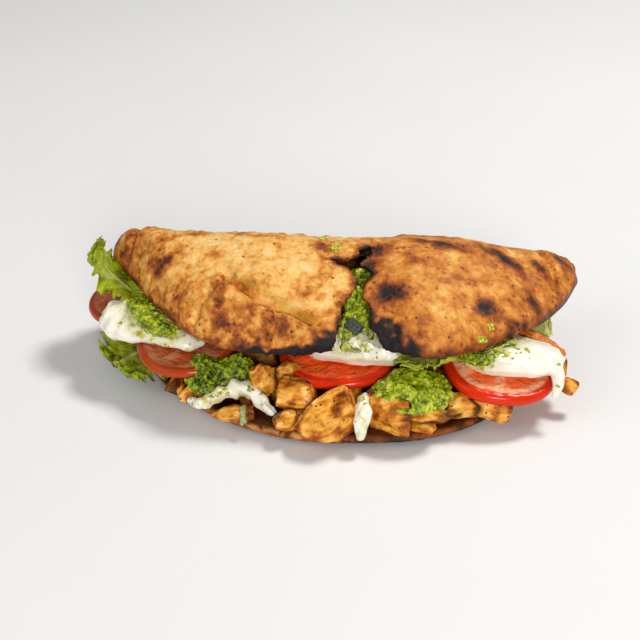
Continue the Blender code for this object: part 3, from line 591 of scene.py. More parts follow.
# Burnt rims of the upper flap: where along x, how far in, strength.
burntRims = [(-14, 21, 2.8, 1.15), (3, 7, 6.0, 1.1), (32, 6.5, 12, 1.2), (38, 9, 4, 1.0), (94, 12, 2.5, 0.35)]


def scorchAt(x, y):
    value = np.zeros(x.shape)
    for px, py, lengthX, lengthY, turn, strength in scorchMarks:
        c, s = math.cos(math.radians(turn)), math.sin(math.radians(turn))
        u = ((x - px) * c + (y - py) * s) / lengthX
        v = (-(x - px) * s + (y - py) * c) / lengthY
        value = np.maximum(value, strength * np.exp(-(u * u + v * v)))
    return value


def rimFray(x):
    # shares of the section missing at the lower and the upper rim
    burnt = max(math.exp(-((x - px) / width) ** 4) for px, width, depth, strength in burntRims)
    low = 0.003 + 0.003 * noise.noise(Vector((x / 5, 1, 0)))
    high = 0.003 + 0.003 * noise.noise(Vector((x / 6, 4, 0)))
    high += burnt * (0.003 + 0.006 * noise.noise(Vector((x / 3.2, 8, 0))))
    return max(low, 0), max(high, 0)


def crustGrid(shape):
    # middle surface: the rows run round each section from the lower rim over the fold to the upper rim
    first, last = stations[0][0], stations[-1][0]
    ends = [0, 0.25, 0.7, 1.4, 2.4]
    inner = np.linspace(first + 3.6, last - 3.6, shape["columns"])
    xs = np.array([first + e for e in ends] + list(inner) + [last - e for e in ends[::-1]])
    rim = [0, 0.0008, 0.0025, 0.005, 0.009]
    shares = rim + list(np.linspace(0.014, shape["upperFrom"], shape["lowerRows"])[:-1])
    shares += list(np.linspace(shape["upperFrom"], 1 - 0.013, shape["upperRows"]))
    shares += [1 - r for r in rim[::-1]]
    middle = np.zeros((len(xs), len(shares), 3))
    normal = np.zeros((len(xs), len(shares), 3))
    rimDistance = np.zeros((len(xs), len(shares)))
    for i, x in enumerate(xs):
        low, high = rimFray(x)
        found = alongLine(sectionLine(x), [low + s * (1 - (low + high)) for s in shares])
        for j, (point, out, d, total) in enumerate(found):
            middle[i, j] = (x, point[0], point[1])
            normal[i, j] = (0, out[0], out[1])
            rimDistance[i, j] = min(d - low * total, (1 - high) * total - d, x - first, last - x)
    share = np.array(shares)[None, :] * np.ones((len(xs), 1))
    return middle, normal, share, rimDistance


def crustSkins(shape, middle, normal, share, rimDistance, tearPath):
    # outer and inner skin, thinner at the rims and round the tear
    thickness = np.where(share < 0.4, shape["lowerThickness"], np.where(
        share < 0.6, shape["foldThickness"], shape["upperThickness"]))
    # the thickness changes smoothly from one part to the next
    for k in range(30):
        thickness[:, 1:-1] = 0.5 * thickness[:, 1:-1] + 0.25 * (thickness[:, 2:] + thickness[:, :-2])
    t = np.clip(rimDistance / shape["edgeRounding"], 0, 1)
    fullness = np.sqrt(1 - (1 - t) ** 2)
    half = 0.5 * thickness * fullness
    ramp = np.clip((share - 0.42) / 0.1, 0, 1)
    relief = crustRelief(middle[..., 0], middle[..., 1], middle[..., 2]) * ramp * fullness
    outer = middle + normal * (half + relief)[..., None]
    flat = (share < 0.4) & (outer[..., 2] < shape["flatBelow"])
    outer[..., 2][flat] = 0
    innerRelief = noiseAt(middle.reshape(-1, 3), 5, (2, 2, 0)).reshape(share.shape) * 0.9 * fullness
    tearAway = besidePath(middle[..., 0], middle[..., 1], tearPath)[0]
    torn = np.exp(-(tearAway / shape["tearTaper"]) ** 2) * (share > 0.6)
    under = middle - normal * ((half - innerRelief) * (1 - 1.45 * torn))[..., None]
    return outer, under


def openTear(outer, under, share, outline):
    # finds the faces inside the outline, and moves the points round them onto it
    place = 0.5 * (outer + under)
    opened = insideOutline(place[..., 0], place[..., 1], outline) & (share > 0.6)
    gone = opened[:-1, :-1].astype(int) + opened[1:, :-1] + opened[:-1, 1:] + opened[1:, 1:] >= 2
    touched = np.zeros_like(opened)
    kept = np.zeros_like(opened)
    for di in (0, 1):
        for dj in (0, 1):
            touched[di:di + gone.shape[0], dj:dj + gone.shape[1]] |= gone
            kept[di:di + gone.shape[0], dj:dj + gone.shape[1]] |= ~gone
    ring = np.array(outline)
    for i, j in np.argwhere(touched & kept):
        x, y = place[i, j, :2]
        away = np.hypot(ring[:, 0] - x, ring[:, 1] - y)
        k = int(np.argmin(away))
        if away[k] < 1.5:
            for sheet in (outer, under):
                sheet[i, j, :2] += (ring[k] - (x, y)) * 0.8
    return gone


def addTornWalls(outer, under, top, low, gone, points, faces):
    # crumb walls between the two skins, along the border of the missing faces
    steps = 4
    wall = {}
    columns, rows = top.shape

    def wallColumn(i, j):
        if (i, j) not in wall:
            line = [top[i, j]]
            if top[i, j] == low[i, j]:
                line += [top[i, j]] * steps
            else:
                a, b = outer[i, j], under[i, j]
                for k in range(1, steps):
                    u = k / steps
                    p = a * (1 - u) + b * u
                    spot = Vector(p) / 1.7
                    sway = np.array([noise.noise(spot), noise.noise(spot + Vector((7, 1, 0))), 0])
                    points.append(tuple(p + sway * 0.9))
                    line.append(len(points) - 1)
                line.append(low[i, j])
            wall[(i, j)] = line
        return wall[(i, j)]

    for i in range(columns):
        for j in range(rows):
            for di, dj in ((1, 0), (0, 1)):
                if i + di >= columns or j + dj >= rows:
                    continue
                if di:
                    sides = [gone[i, k] for k in (j - 1, j) if 0 <= k < rows - 1]
                else:
                    sides = [gone[k, j] for k in (i - 1, i) if 0 <= k < columns - 1]
                if len(sides) == 2 and sides[0] != sides[1]:
                    a, b = wallColumn(i, j), wallColumn(i + di, j + dj)
                    for k in range(steps):
                        corners = []
                        for index in (a[k], b[k], b[k + 1], a[k + 1]):
                            if index not in corners:
                                corners.append(index)
                        if len(corners) > 2:
                            faces.append(tuple(corners))


def charAt(points, x, y, flap, rimAway, tearPath):
    char = scorchAt(x, y) * np.clip((flap - 0.45) / 0.08, 0, 1)
    for px, width, depth, strength in burntRims:
        along = np.exp(-((x - px) / width) ** 4)
        ragged = depth * np.clip(1 + 1.3 * noiseAt(points, 4, (px, 0, 0)), 0.25, 2)
        char = np.maximum(char, strength * along * np.exp(-(rimAway / ragged) ** 2) * (flap > 0.6))
    nearTear = np.exp(-(besidePath(x, y, tearPath)[0] / 2.2) ** 2) * (flap > 0.6)
    burning = 0.55 + 0.5 * noiseAt(points, 7, (4, 4, 0))
    char = np.maximum(char, nearTear * burning)
    rimTone = np.exp(-(rimAway / 2.2) ** 2) * 0.32
    return np.maximum(char, rimTone * (flap > 0.3))


def toneAt(shape, x, y, right, flap, rimAway):
    # palest high on the left half, browner towards rims and ends; the back and the lower flap are darker, partly baked
    # browner and partly painted shade
    tone = 0.27 + 0.115 * right + 0.08 * np.exp(-(rimAway / 15) ** 2)
    for px, py, reach, more in shape["bakingAndPaintedLight"]:
        tone = tone + more * np.exp(-((x - px) ** 2 + (y - py) ** 2) / reach ** 2)
    # painted shade, with baking: darker below share 0.62, on the lower flap and up the back
    back = np.clip((0.62 - flap) / 0.2, 0, 1) * 0.16
    # painted shade, with baking: the lower flap darker still, except in its last 2 mm at the rim
    lower = np.clip((0.3 - flap) / 0.1, 0, 1) * (0.24 - 0.16 * np.exp(-(rimAway / 2) ** 2))
    return tone + back + lower


def crustValues(shape, points, share, rimDistance, tearPath):
    # what the material reads at each point: outer skin, inner skin, then the torn walls
    x, y, z = points.T
    count = share.size
    walls = len(points) - 2 * count
    flap = np.concatenate([share.ravel(), share.ravel(), np.ones(walls)])
    rimAway = np.concatenate([rimDistance.ravel(), rimDistance.ravel(), np.full(walls, 9.0)])
    right = np.clip((x - 10) / 20, 0, 1)
    away, side = besidePath(x, y, shape["creases"][0][0])
    oil = np.exp(-((away - 0.4) / 1.3) ** 2) * (side > 0) * (flap > 0.6)
    onFlap = np.clip((0.3 - flap) / 0.1, 0, 1)
    upward = np.concatenate([np.zeros(count), np.ones(count), np.ones(walls)])
    # juices on the lower flap's upper face; painted shade on its underside within about 12 mm of the rim
    sauceAndShade = onFlap * np.maximum(upward, 0.7 * np.exp(-(rimAway / 12) ** 2)) * np.clip(rimAway / 1.8, 0.15, 1)
    return {
        "char": charAt(points, x, y, flap, rimAway, tearPath),
        "tone": toneAt(shape, x, y, right, flap, rimAway),
        "inside": np.concatenate([np.zeros(count), np.ones(count), np.full(walls, 0.85)]),
        "oil": oil,
        "raised": np.clip(blisterAt(x, y) * 1.5 - 0.3, 0, 1) * (flap > 0.45),
        "mottled": 1 - 0.35 * right,
        "sauceAndShade": sauceAndShade,
    }


def buildCrust(shape):
    tearPath = shape["tear"] + shape["tear"][:1]
    middle, normal, share, rimDistance = crustGrid(shape)
    outer, under = crustSkins(shape, middle, normal, share, rimDistance, tearPath)
    gone = openTear(outer, under, share, refinedOutline(shape["tear"], 1.1, 1.1))
    # the rim's points are shared by both skins
    points = [tuple(p) for p in outer.reshape(-1, 3)] + [tuple(p) for p in under.reshape(-1, 3)]
    top = np.arange(share.size).reshape(share.shape)
    low = np.where(rimDistance < 1e-5, top, top + share.size)
    faces = []
    for i, j in np.argwhere(~gone):
        faces.append((top[i, j], top[i + 1, j], top[i + 1, j + 1], top[i, j + 1]))
        faces.append((low[i, j + 1], low[i + 1, j + 1], low[i + 1, j], low[i, j]))
    addTornWalls(outer, under, top, low, gone, points, faces)
    used = np.zeros(len(points), dtype=bool)
    for face in faces:
        used[list(face)] = True
    points = np.array(points)
    values = crustValues(shape, points, share, rimDistance, tearPath)
    order = np.cumsum(used) - 1
    faces = [tuple(order[index] for index in face) for face in faces]
    mesh = meshFrom("crust", onFrame(points[used]), faces, {key: value[used] for key, value in values.items()})
    turnOut(mesh)
    return linkObject("crust", mesh)


crustPiece = buildCrust(breadShape)
finishPiece(crustPiece, crustMaterial(crustLook), "crust", "bread")
print("crust", len(crustPiece.data.polygons), "faces")

# tomato
# Slices: centre, radius, thickness, tilt about X, tilt about Y in degrees, ripeness, how pale the flesh is.
tomatoSlices = {
    "tomato_far_left": ((-95, 12, 31.5), 24, 4.6, 6, -14, 0.15, 1.0),
    "tomato_left": ((-64, -25, 24.5), 25.5, 4.8, 5, -3, 0.2, 1.0),
    "tomato_centre": ((9.5, -36, 25.5), 28.5, 5.0, 3, 0, 1.0, 0.12),
    "tomato_right": ((86, -41, 22.5), 28, 6.0, 9, 7, 1.0, 1.0),
}
tomatoLook = {
    "skin": (0.68, 0.026, 0.0008),
    "wall": (1.00, 0.085, 0.004),
    "flesh": (1.00, 0.50, 0.27),
    "gel": (1.00, 0.14, 0.012),
    "dullSkin": (0.38, 0.060, 0.008),
    "dullFlesh": (0.52, 0.17, 0.065),
}


def tomatoMaterial(look):
    material, tree, shader, place = startMaterial("tomatoFlesh")
    away = attributeValue(tree, "fromMiddle")
    ripe = attributeValue(tree, "ripe")
    chamber = attributeValue(tree, "chamber")
    streaks = patches(tree, place, 2.0, 0.35, 0.7, 5, 0.6)
    cloudy = patches(tree, place, 7, 0.35, 0.65, 4)
    fleshy = calc(tree, "MULTIPLY", calc(tree, "MAXIMUM", streaks, cloudy), attributeValue(tree, "pale"))
    wall = mixColour(tree, fleshy, look["wall"], look["flesh"])
    skinShare = addNode(tree, "ShaderNodeMapRange", {"Value": away, "From Min": 0.82, "From Max": 0.88},
                        interpolation_type="SMOOTHSTEP").outputs["Result"]
    base = mixColour(tree, calc(tree, "MULTIPLY", chamber, 0.8), wall, look["gel"])
    base = mixColour(tree, skinShare, base, look["skin"])
    dull = mixColour(tree, cloudy, look["dullSkin"], look["dullFlesh"])
    dull = mixColour(tree, skinShare, dull, look["dullSkin"])
    base = mixColour(tree, ripe, dull, base)
    link(tree, base, shader, "Base Color")
    wet = patches(tree, place, 3, 0.35, 0.7, 3, 0.5, (0.5, 0, 0))
    rough = addNode(tree, "ShaderNodeMapRange", {"Value": wet, "To Min": 0.10, "To Max": 0.30}).outputs["Result"]
    link(tree, rough, shader, "Roughness")
    fibre = addNode(tree, "ShaderNodeTexNoise", {"Vector": place, "Scale": 700.0, "Detail": 4.0}).outputs["Fac"]
    soft = calc(tree, "SUBTRACT", 1.0, skinShare)
    bumpFrom(tree, shader, calc(tree, "MULTIPLY", calc(tree, "ADD", fibre, wet), soft), 0.0008, 0.7)
    shader.inputs["Specular IOR Level"].default_value = 0.24
    return material


def buildTomato(name, centre, radius, thickness, tiltX, tiltY, ripe, pale):
    half = thickness / 2
    rings = [(step / 20, half) for step in range(18)]
    rings += [(0.9, half), (0.93, 0.97 * half), (0.955, 0.88 * half), (0.975, 0.68 * half), (0.99, 0.42 * half),
              (1.0, 0.12 * half)]
    rings = rings + [(share, -z) for share, z in rings[::-1]]
    count = 132
    points, away, chamber = [], [], []
    lines = []
    for share, z in rings:
        row = []
        for k in range(count if share else 1):
            a = 2 * math.pi * k / count
            lobe = 1 + 0.018 * math.sin(3 * a + radius) + 0.012 * math.sin(5 * a)
            sag = 0.5 * math.sin(2 * a + radius) * share ** 2
            x, y = radius * share * lobe * math.cos(a), radius * share * lobe * math.sin(a)
            # seed chambers between radial walls
            wave = abs(math.sin(2.5 * a + radius * 0.7 + 0.25 * math.sin(3 * a)))
            room = min(max((wave - 0.35) / 0.25, 0), 1) * min(max((0.76 - share) / 0.08, 0), 1)
            room *= min(max((share - 0.2) / 0.1, 0), 1)
            spot = Vector((x, y, z + radius))
            grain = noise.noise(spot / 1.6) * 0.25 + noise.noise(spot / 4) * 0.3
            grain *= min(max((0.95 - share) / 0.06, 0), 1)
            dip = (0.9 * room - grain) * (1 if z > 0 else -1)
            row.append(len(points))
            points.append((x, y, z + sag - dip))
            away.append(share)
            chamber.append(room)
        lines.append(row)
    faces = []
    for a, b in zip(lines, lines[1:]):
        for k in range(count):
            n = (k + 1) % count
            if len(a) == 1:
                faces.append((a[0], b[k], b[n]))
            elif len(b) == 1:
                faces.append((a[k], b[0], a[n]))
            else:
                faces.append((a[k], b[k], b[n], a[n]))
    spin = Matrix.Translation(centre) @ Matrix.Rotation(math.radians(tiltY), 4, "Y")
    spin = spin @ Matrix.Rotation(math.radians(tiltX), 4, "X")
    mesh = meshFrom(name, onFrame([spin @ Vector(p) for p in points]), faces, {
        "fromMiddle": away, "chamber": chamber, "ripe": [ripe] * len(points), "pale": [pale] * len(points)})
    turnOut(mesh)
    keepWithin(mesh, name, 0.5 * mm)
    return linkObject("slice_" + name[7:], mesh)


tomatoFlesh = tomatoMaterial(tomatoLook)
tomatoPieces = {}
for sliceName, values in tomatoSlices.items():
    tomatoPieces[sliceName] = finishPiece(buildTomato(sliceName, *values), tomatoFlesh, "tomato", sliceName)
print("tomato slices", len(tomatoSlices))

# mozzarella
cheeseLook = {
    "milk": (0.92, 0.89, 0.78),
    "cream": (0.82, 0.70, 0.43),
    "oil": (0.56, 0.50, 0.06),
    "herb": (0.17, 0.19, 0.005),
}
# voxel in millimetres, smoothing passes, fold height, dullness, which also sets the painted shade in the fold hollows
cheeseShapes = {
    "mozzarella_centre": {"voxel": 0.6, "passes": 16, "wave": 1.0, "dull": 0.25, "smeared": 0.1, "herbs": 0.3, "knots": 0.4},
    "mozzarella_left": {"voxel": 0.6, "passes": 14, "wave": 2.3, "dull": 0.45, "smeared": 0.4, "herbs": 0.02, "knots": 0.5},
    "mozzarella_right": {"voxel": 0.6, "passes": 20, "wave": 0.9, "dull": 0.0, "smeared": 0.1, "herbs": 0.22, "knots": 0.3},
    "mozzarella_far_left": {"voxel": 0.5, "passes": 14, "wave": 0.8, "dull": 0.8, "smeared": 0.0, "herbs": 0.0, "knots": 0.3},
    "mozzarella_drip": {"voxel": 0.35, "passes": 16, "wave": 1.0, "dull": 0.35, "smeared": 0.9, "herbs": 0.15, "knots": 1.6},
    "mozzarella_strand": {"voxel": 0.4, "passes": 16, "wave": 2.0, "dull": 0.35, "smeared": 0.9, "herbs": 0.1, "knots": 2.6},
}
pestoNodes = ["pesto_right", "pesto_left", "pesto_tear", "pesto_on_left_cheese", "pesto_on_right_cheese"]


def cheeseMaterial(look):
    material, tree, shader, place = startMaterial("meltedMozzarella")
    cloud = patches(tree, place, 12, 0.35, 0.7, 3)
    spots = patches(tree, place, 4.5, 0.46, 0.66, 5, 0.62, (0.2, 0.1, 0))
    stain = attributeValue(tree, "stain")
    dull = attributeValue(tree, "dull")
    # cream tint in patches, deepened in the fold hollows as painted shade
    creamAndHollowShade = calc(tree, "MULTIPLY", cloud, calc(tree, "ADD", calc(tree, "MULTIPLY", dull, 0.7), 0.15))
    base = mixColour(tree, creamAndHollowShade, look["milk"], look["cream"])
    oily = calc(tree, "MULTIPLY", stain, calc(tree, "ADD", calc(tree, "MULTIPLY", spots, 0.7), 0.25))
    base = mixColour(tree, oily, base, look["oil"])
    grains = patches(tree, place, 1.1, 0.58, 0.66, 3, 0.6, (0.9, 0.1, 0))
    base = mixColour(tree, calc(tree, "MULTIPLY", calc(tree, "MULTIPLY", grains, spots), stain), base, look["herb"])
    link(tree, base, shader, "Base Color")
    rough = addNode(tree, "ShaderNodeMapRange", {"Value": cloud, "To Min": 0.12, "To Max": 0.30}).outputs["Result"]
    link(tree, rough, shader, "Roughness")
    fine = addNode(tree, "ShaderNodeTexNoise", {"Vector": place, "Scale": 300.0, "Detail": 4.0}).outputs["Fac"]
    bumpFrom(tree, shader, fine, 0.0007, 0.6)
    shader.inputs["Subsurface Weight"].default_value = 0.2
    shader.inputs["Subsurface Radius"].default_value = (1.0, 0.8, 0.5)
    shader.inputs["Subsurface Scale"].default_value = 0.002
    return material


def nearness(mesh, nodes, reach):
    # 1 at a solid of one of the nodes, falling off over the reach in millimetres
    trees = [nodeSurface(node) for node in nodes]
    values = []
    for p in points3(mesh):
        away = min(tree.find_nearest(Vector(p))[3] for tree in trees) / mm
        values.append(math.exp(-(away / reach) ** 2))
    return np.array(values)


def buildCheese(node, shape):
    piece = refinedCopy(node, "cheese_" + node[11:], shape["voxel"] * mm, shape["passes"])
    mesh = piece.data
    places = tablePoints(mesh)
    folds = noiseAt(places * (0.8, 1, 0.6), 10) + 0.35 * noiseAt(places, 5.2, (0, 0, 3))
    # rounded ridges, like melted cheese that has slumped
    pulled = 1 - 2.6 * np.abs(noiseAt(places * (0.6, 1, 0.8), 11, (3, 0, 0)))
    knots = shape["knots"] * noiseAt(places * (1, 1, 0.7), 4.6, (1, 8, 0))
    rises = 1.1 * folds + 0.35 * pulled
    pushOut(mesh, shape["wave"] * rises + knots - 0.2)
    fairSurface(mesh, 4)
    smears = np.clip(0.1 + 2.5 * noiseAt(places, 5, (0, 7, 0)), 0, 1) * shape["smeared"]
    near = nearness(mesh, pestoNodes, 4.5)
    setAttribute(mesh, "stain", np.clip(near + smears, 0, 1))
    setAttribute(mesh, "herby", np.clip(near + 0.4 * smears + shape["herbs"], 0, 1))
    # painted shade: more cream tint where the folds dip, on top of each piece's own dullness
    setAttribute(mesh, "dull", np.clip(shape["dull"] * (0.75 - 2.2 * rises), 0, 1.3))
    return piece


meltedMozzarella = cheeseMaterial(cheeseLook)
cheesePieces = {}
for nodeName, shape in cheeseShapes.items():
    cheesePieces[nodeName] = finishPiece(buildCheese(nodeName, shape), meltedMozzarella, "mozzarella", nodeName)
print("mozzarella", sum(len(piece.data.polygons) for piece in cheesePieces.values()), "faces")

# pesto
pestoLook = {
    # level and colour, from painted shade in the gaps between clumps to the bright crumbs
    "greensShadedInGaps": [
        (0.02, (0.012, 0.016, 0.001)), (0.26, (0.095, 0.128, 0.001)), (0.50, (0.235, 0.315, 0.002)),
        (0.76, (0.46, 0.54, 0.012)), (1.00, (0.74, 0.72, 0.10)),
    ],
    "herb": (0.030, 0.040, 0.002),
    "cheese": (0.80, 0.70, 0.26),
    "smear": (0.60, 0.58, 0.20),
    "gloss": 0.32,
}
# voxel, clump and grain sizes in millimetres, how far the clumps stand out, share of bright green
pestoShapes = {
    "pesto_right": {"voxel": 0.45, "clump": 5.2, "grain": 1.5, "rise": 1.7, "bright": 0.24},
    "pesto_left": {"voxel": 0.45, "clump": 3.4, "grain": 1.3, "rise": 1.8, "bright": 0.06},
    "pesto_tear": {"voxel": 0.45, "clump": 3.2, "grain": 1.4, "rise": 1.9, "bright": 0.28},
    "pesto_on_left_cheese": {"voxel": 0.42, "clump": 2.8, "grain": 1.2, "rise": 1.3, "bright": 0.20},
    "pesto_on_right_cheese": {"voxel": 0.42, "clump": 2.6, "grain": 1.2, "rise": 1.1, "bright": 0.14},
}


def pestoMaterial(look):
    material, tree, shader, place = startMaterial("basilPesto")
    # painted shade: the level falls between clumps, where the crown is low, down to near black
    level = calc(tree, "ADD", attributeValue(tree, "crown"), attributeValue(tree, "bright"))
    level = calc(tree, "ADD", level, calc(tree, "MULTIPLY", lumps(tree, place, 6, 3.0), 0.9))
    level = calc(tree, "ADD", level, calc(tree, "MULTIPLY", lumps(tree, place, 1.3, 4.0), 0.42))
    base = colourRamp(tree, level, look["greensShadedInGaps"])
    bits = addNode(tree, "ShaderNodeTexVoronoi", {"Vector": place, "Scale": 800.0, "Randomness": 1.0})
    tint = addNode(tree, "ShaderNodeSeparateColor", {"Color": bits.outputs["Color"]})
    dark = calc(tree, "GREATER_THAN", tint.outputs["Green"], 0.82)
    base = mixColour(tree, calc(tree, "MULTIPLY", dark, 0.45), base, look["herb"])
    grain = calc(tree, "MULTIPLY", calc(tree, "GREATER_THAN", tint.outputs["Blue"], 0.965),
                 calc(tree, "GREATER_THAN", level, 0.45))
    base = mixColour(tree, calc(tree, "MULTIPLY", grain, 0.75), base, look["cheese"])
    thin = calc(tree, "MULTIPLY", attributeValue(tree, "thin"), patches(tree, place, 2.4, 0.40, 0.56, 4, 0.6))
    base = mixColour(tree, thin, base, look["smear"])
    link(tree, base, shader, "Base Color")
    rough = calc(tree, "ADD", calc(tree, "MULTIPLY", lumps(tree, place, 4), 0.5), 0.13)
    link(tree, rough, shader, "Roughness")
    bumpFrom(tree, shader, lumps(tree, place, 1.4, 3.0), 0.0008, 0.8)
    shader.inputs["Specular IOR Level"].default_value = look["gloss"]
    return material


def clotHeights(places, clump, grain, rise):
    # rounded clumps with grains on them: rise in millimetres, and how near each point is to a top
    def swells(size, shift):
        bent = places + 0.5 * size * np.stack([noiseAt(places, size, (k, shift, 0)) for k in range(3)], axis=1)
        near = np.array([noise.voronoi(Vector(p) / size + Vector((shift, 0, 0)))[0][0] for p in bent])
        return np.clip(1 - 1.35 * near, -0.1, 1)
    large, small = swells(clump, 0), swells(grain, 5)
    heights = rise * (0.95 * (large - 0.55) + 0.42 * (small - 0.5))
    return heights, np.clip(0.5 * large + 0.5 * small, 0, 1)


def buildPesto(node, shape):
    piece = refinedCopy(node, "clots" + node[5:], shape["voxel"] * mm, 6)
    mesh = piece.data
    places = tablePoints(mesh)
    heights, crown = clotHeights(places, shape["clump"], shape["grain"], shape["rise"])
    pushOut(mesh, heights + 0.7 * noiseAt(places, 7))
    setAttribute(mesh, "crown", crown)
    setAttribute(mesh, "bright", np.full(len(places), shape["bright"]))
    setAttribute(mesh, "thin", np.clip(1.4 * nearness(mesh, list(cheeseShapes), 1.3), 0, 1))
    return piece


basilPesto = pestoMaterial(pestoLook)
pestoPieces = {}
for nodeName, shape in pestoShapes.items():
    pestoPieces[nodeName] = finishPiece(buildPesto(nodeName, shape), basilPesto, "pesto", nodeName)

# clots that lie on the crust: x, y, length, width, height
crustClots = [(8, -9, 4.5, 5, 2.6), (2, 3, 5.5, 3, 2.2), (79.5, -48, 3, 4.5, 2.4), (75, -54, 5, 4, 2.6)]


def buildCrustClots():
    below = BVHTree.FromObject(crustPiece, bpy.context.evaluated_depsgraph_get())
    work = bmesh.new()
    for px, py, length, width, height in crustClots:
        top = origin + Vector((px, py, 100)) * mm
        hit = below.ray_cast(top, Vector((0, 0, -1)))[0]
        centre = (hit - origin) / mm
        size = Vector((length, width, height)) * 0.6
        spin = Matrix.Translation(centre) @ Matrix.Diagonal((*size, 1))
        bmesh.ops.create_icosphere(work, subdivisions=5, radius=1, matrix=spin)
    mesh = bpy.data.meshes.new("crustClots")
    work.to_mesh(mesh)
    work.free()
    places = points3(mesh)
    heights, crown = clotHeights(places, 1.7, 0.9, 1.1)
    setPoints(mesh, places + normals3(mesh) * heights[:, None])
    setPoints(mesh, onFrame(points3(mesh)))
    setAttribute(mesh, "crown", crown)
    setAttribute(mesh, "bright", np.full(len(places), 0.42))
    setAttribute(mesh, "thin", np.zeros(len(places)))
    return linkObject("crustClots", mesh)


finishPiece(buildCrustClots(), basilPesto, "pesto", "bread")
print("pesto", sum(len(piece.data.polygons) for piece in pestoPieces.values()), "faces")

# leaves
leafLook = {
    "rib": (0.62, 0.62, 0.22),
    "blade": (0.165, 0.225, 0.001),
    "frill": (0.42, 0.48, 0.004),
    "hollowShade": (0.020, 0.028, 0.001),
    "gloss": 0.25,
}
# Midrib, half widths, direction across, wave height, wave count, ruffle height, how pale (below zero it adds painted
# shade), how deep the frill is.
leafShapes = {
    "lettuce_upper_left": (
        [(-82, 1, 37), (-92, 3, 39), (-102, 8, 42), (-111, 18, 48), (-115, 25, 54)],
        (8, 11, 14, 16, 11), (0.1, 1.0, 0.12), 2.8, 2.6, 1.8, 0.0, 2.5),
    "lettuce_lower_left": (
        [(-70, -5, 17), (-81, -11, 17), (-90, -16, 15), (-97, -20, 12), (-101, -22, 10)],
        (16, 22, 25, 24, 18), (0.62, -0.78, -0.02), 2.6, 2.6, 3.0, -0.3, 1.5),
    "lettuce_centre": (
        [(50, -36, 34.5), (50, -46, 34.5), (50, -54, 34), (50, -61, 33.5)],
        (10, 14, 15, 11), (1.0, 0.1, 0.05), 1.2, 2.0, 0.9, 0.15, 4),
    "lettuce_right": (
        [(95, -10, 26), (102, -15, 28), (108, -19, 28.5), (113, -23, 27)],
        (7, 9, 10, 8), (0.25, 0.55, 0.8), 1.2, 1.6, 0.6, 0.8, 4),
}


def leafMaterial(look):
    material, tree, shader, place = startMaterial("crispLettuce")
    rib = attributeValue(tree, "rib")
    edge = attributeValue(tree, "edge")
    pale = attributeValue(tree, "pale")
    hollow = attributeValue(tree, "hollow")
    cloud = patches(tree, place, 5, 0.3, 0.7, 5, 0.6)
    base = mixColour(tree, calc(tree, "MULTIPLY", cloud, 0.8), look["blade"], look["frill"])
    base = mixColour(tree, calc(tree, "MULTIPLY", edge, 0.55), base, look["frill"])
    # painted shade in the hollows of the curls and bubbles
    base = mixColour(tree, calc(tree, "MULTIPLY", hollow, 0.75), base, look["hollowShade"])
    base = mixColour(tree, calc(tree, "MAXIMUM", calc(tree, "MULTIPLY", rib, 0.7), pale), base, look["rib"])
    link(tree, base, shader, "Base Color")
    rough = addNode(tree, "ShaderNodeMapRange", {"Value": cloud, "To Min": 0.25, "To Max": 0.45}).outputs["Result"]
    link(tree, rough, shader, "Roughness")
    fine = addNode(tree, "ShaderNodeTexNoise", {"Vector": place, "Scale": 420.0, "Detail": 5.0}).outputs["Fac"]
    bumpFrom(tree, shader, calc(tree, "ADD", fine, rib), 0.0008, 0.8)
    shader.inputs["Specular IOR Level"].default_value = look["gloss"]
    shader.inputs["Subsurface Weight"].default_value = 0.06
    shader.inputs["Subsurface Radius"].default_value = (0.4, 1.0, 0.1)
    shader.inputs["Subsurface Scale"].default_value = 0.002
    return material


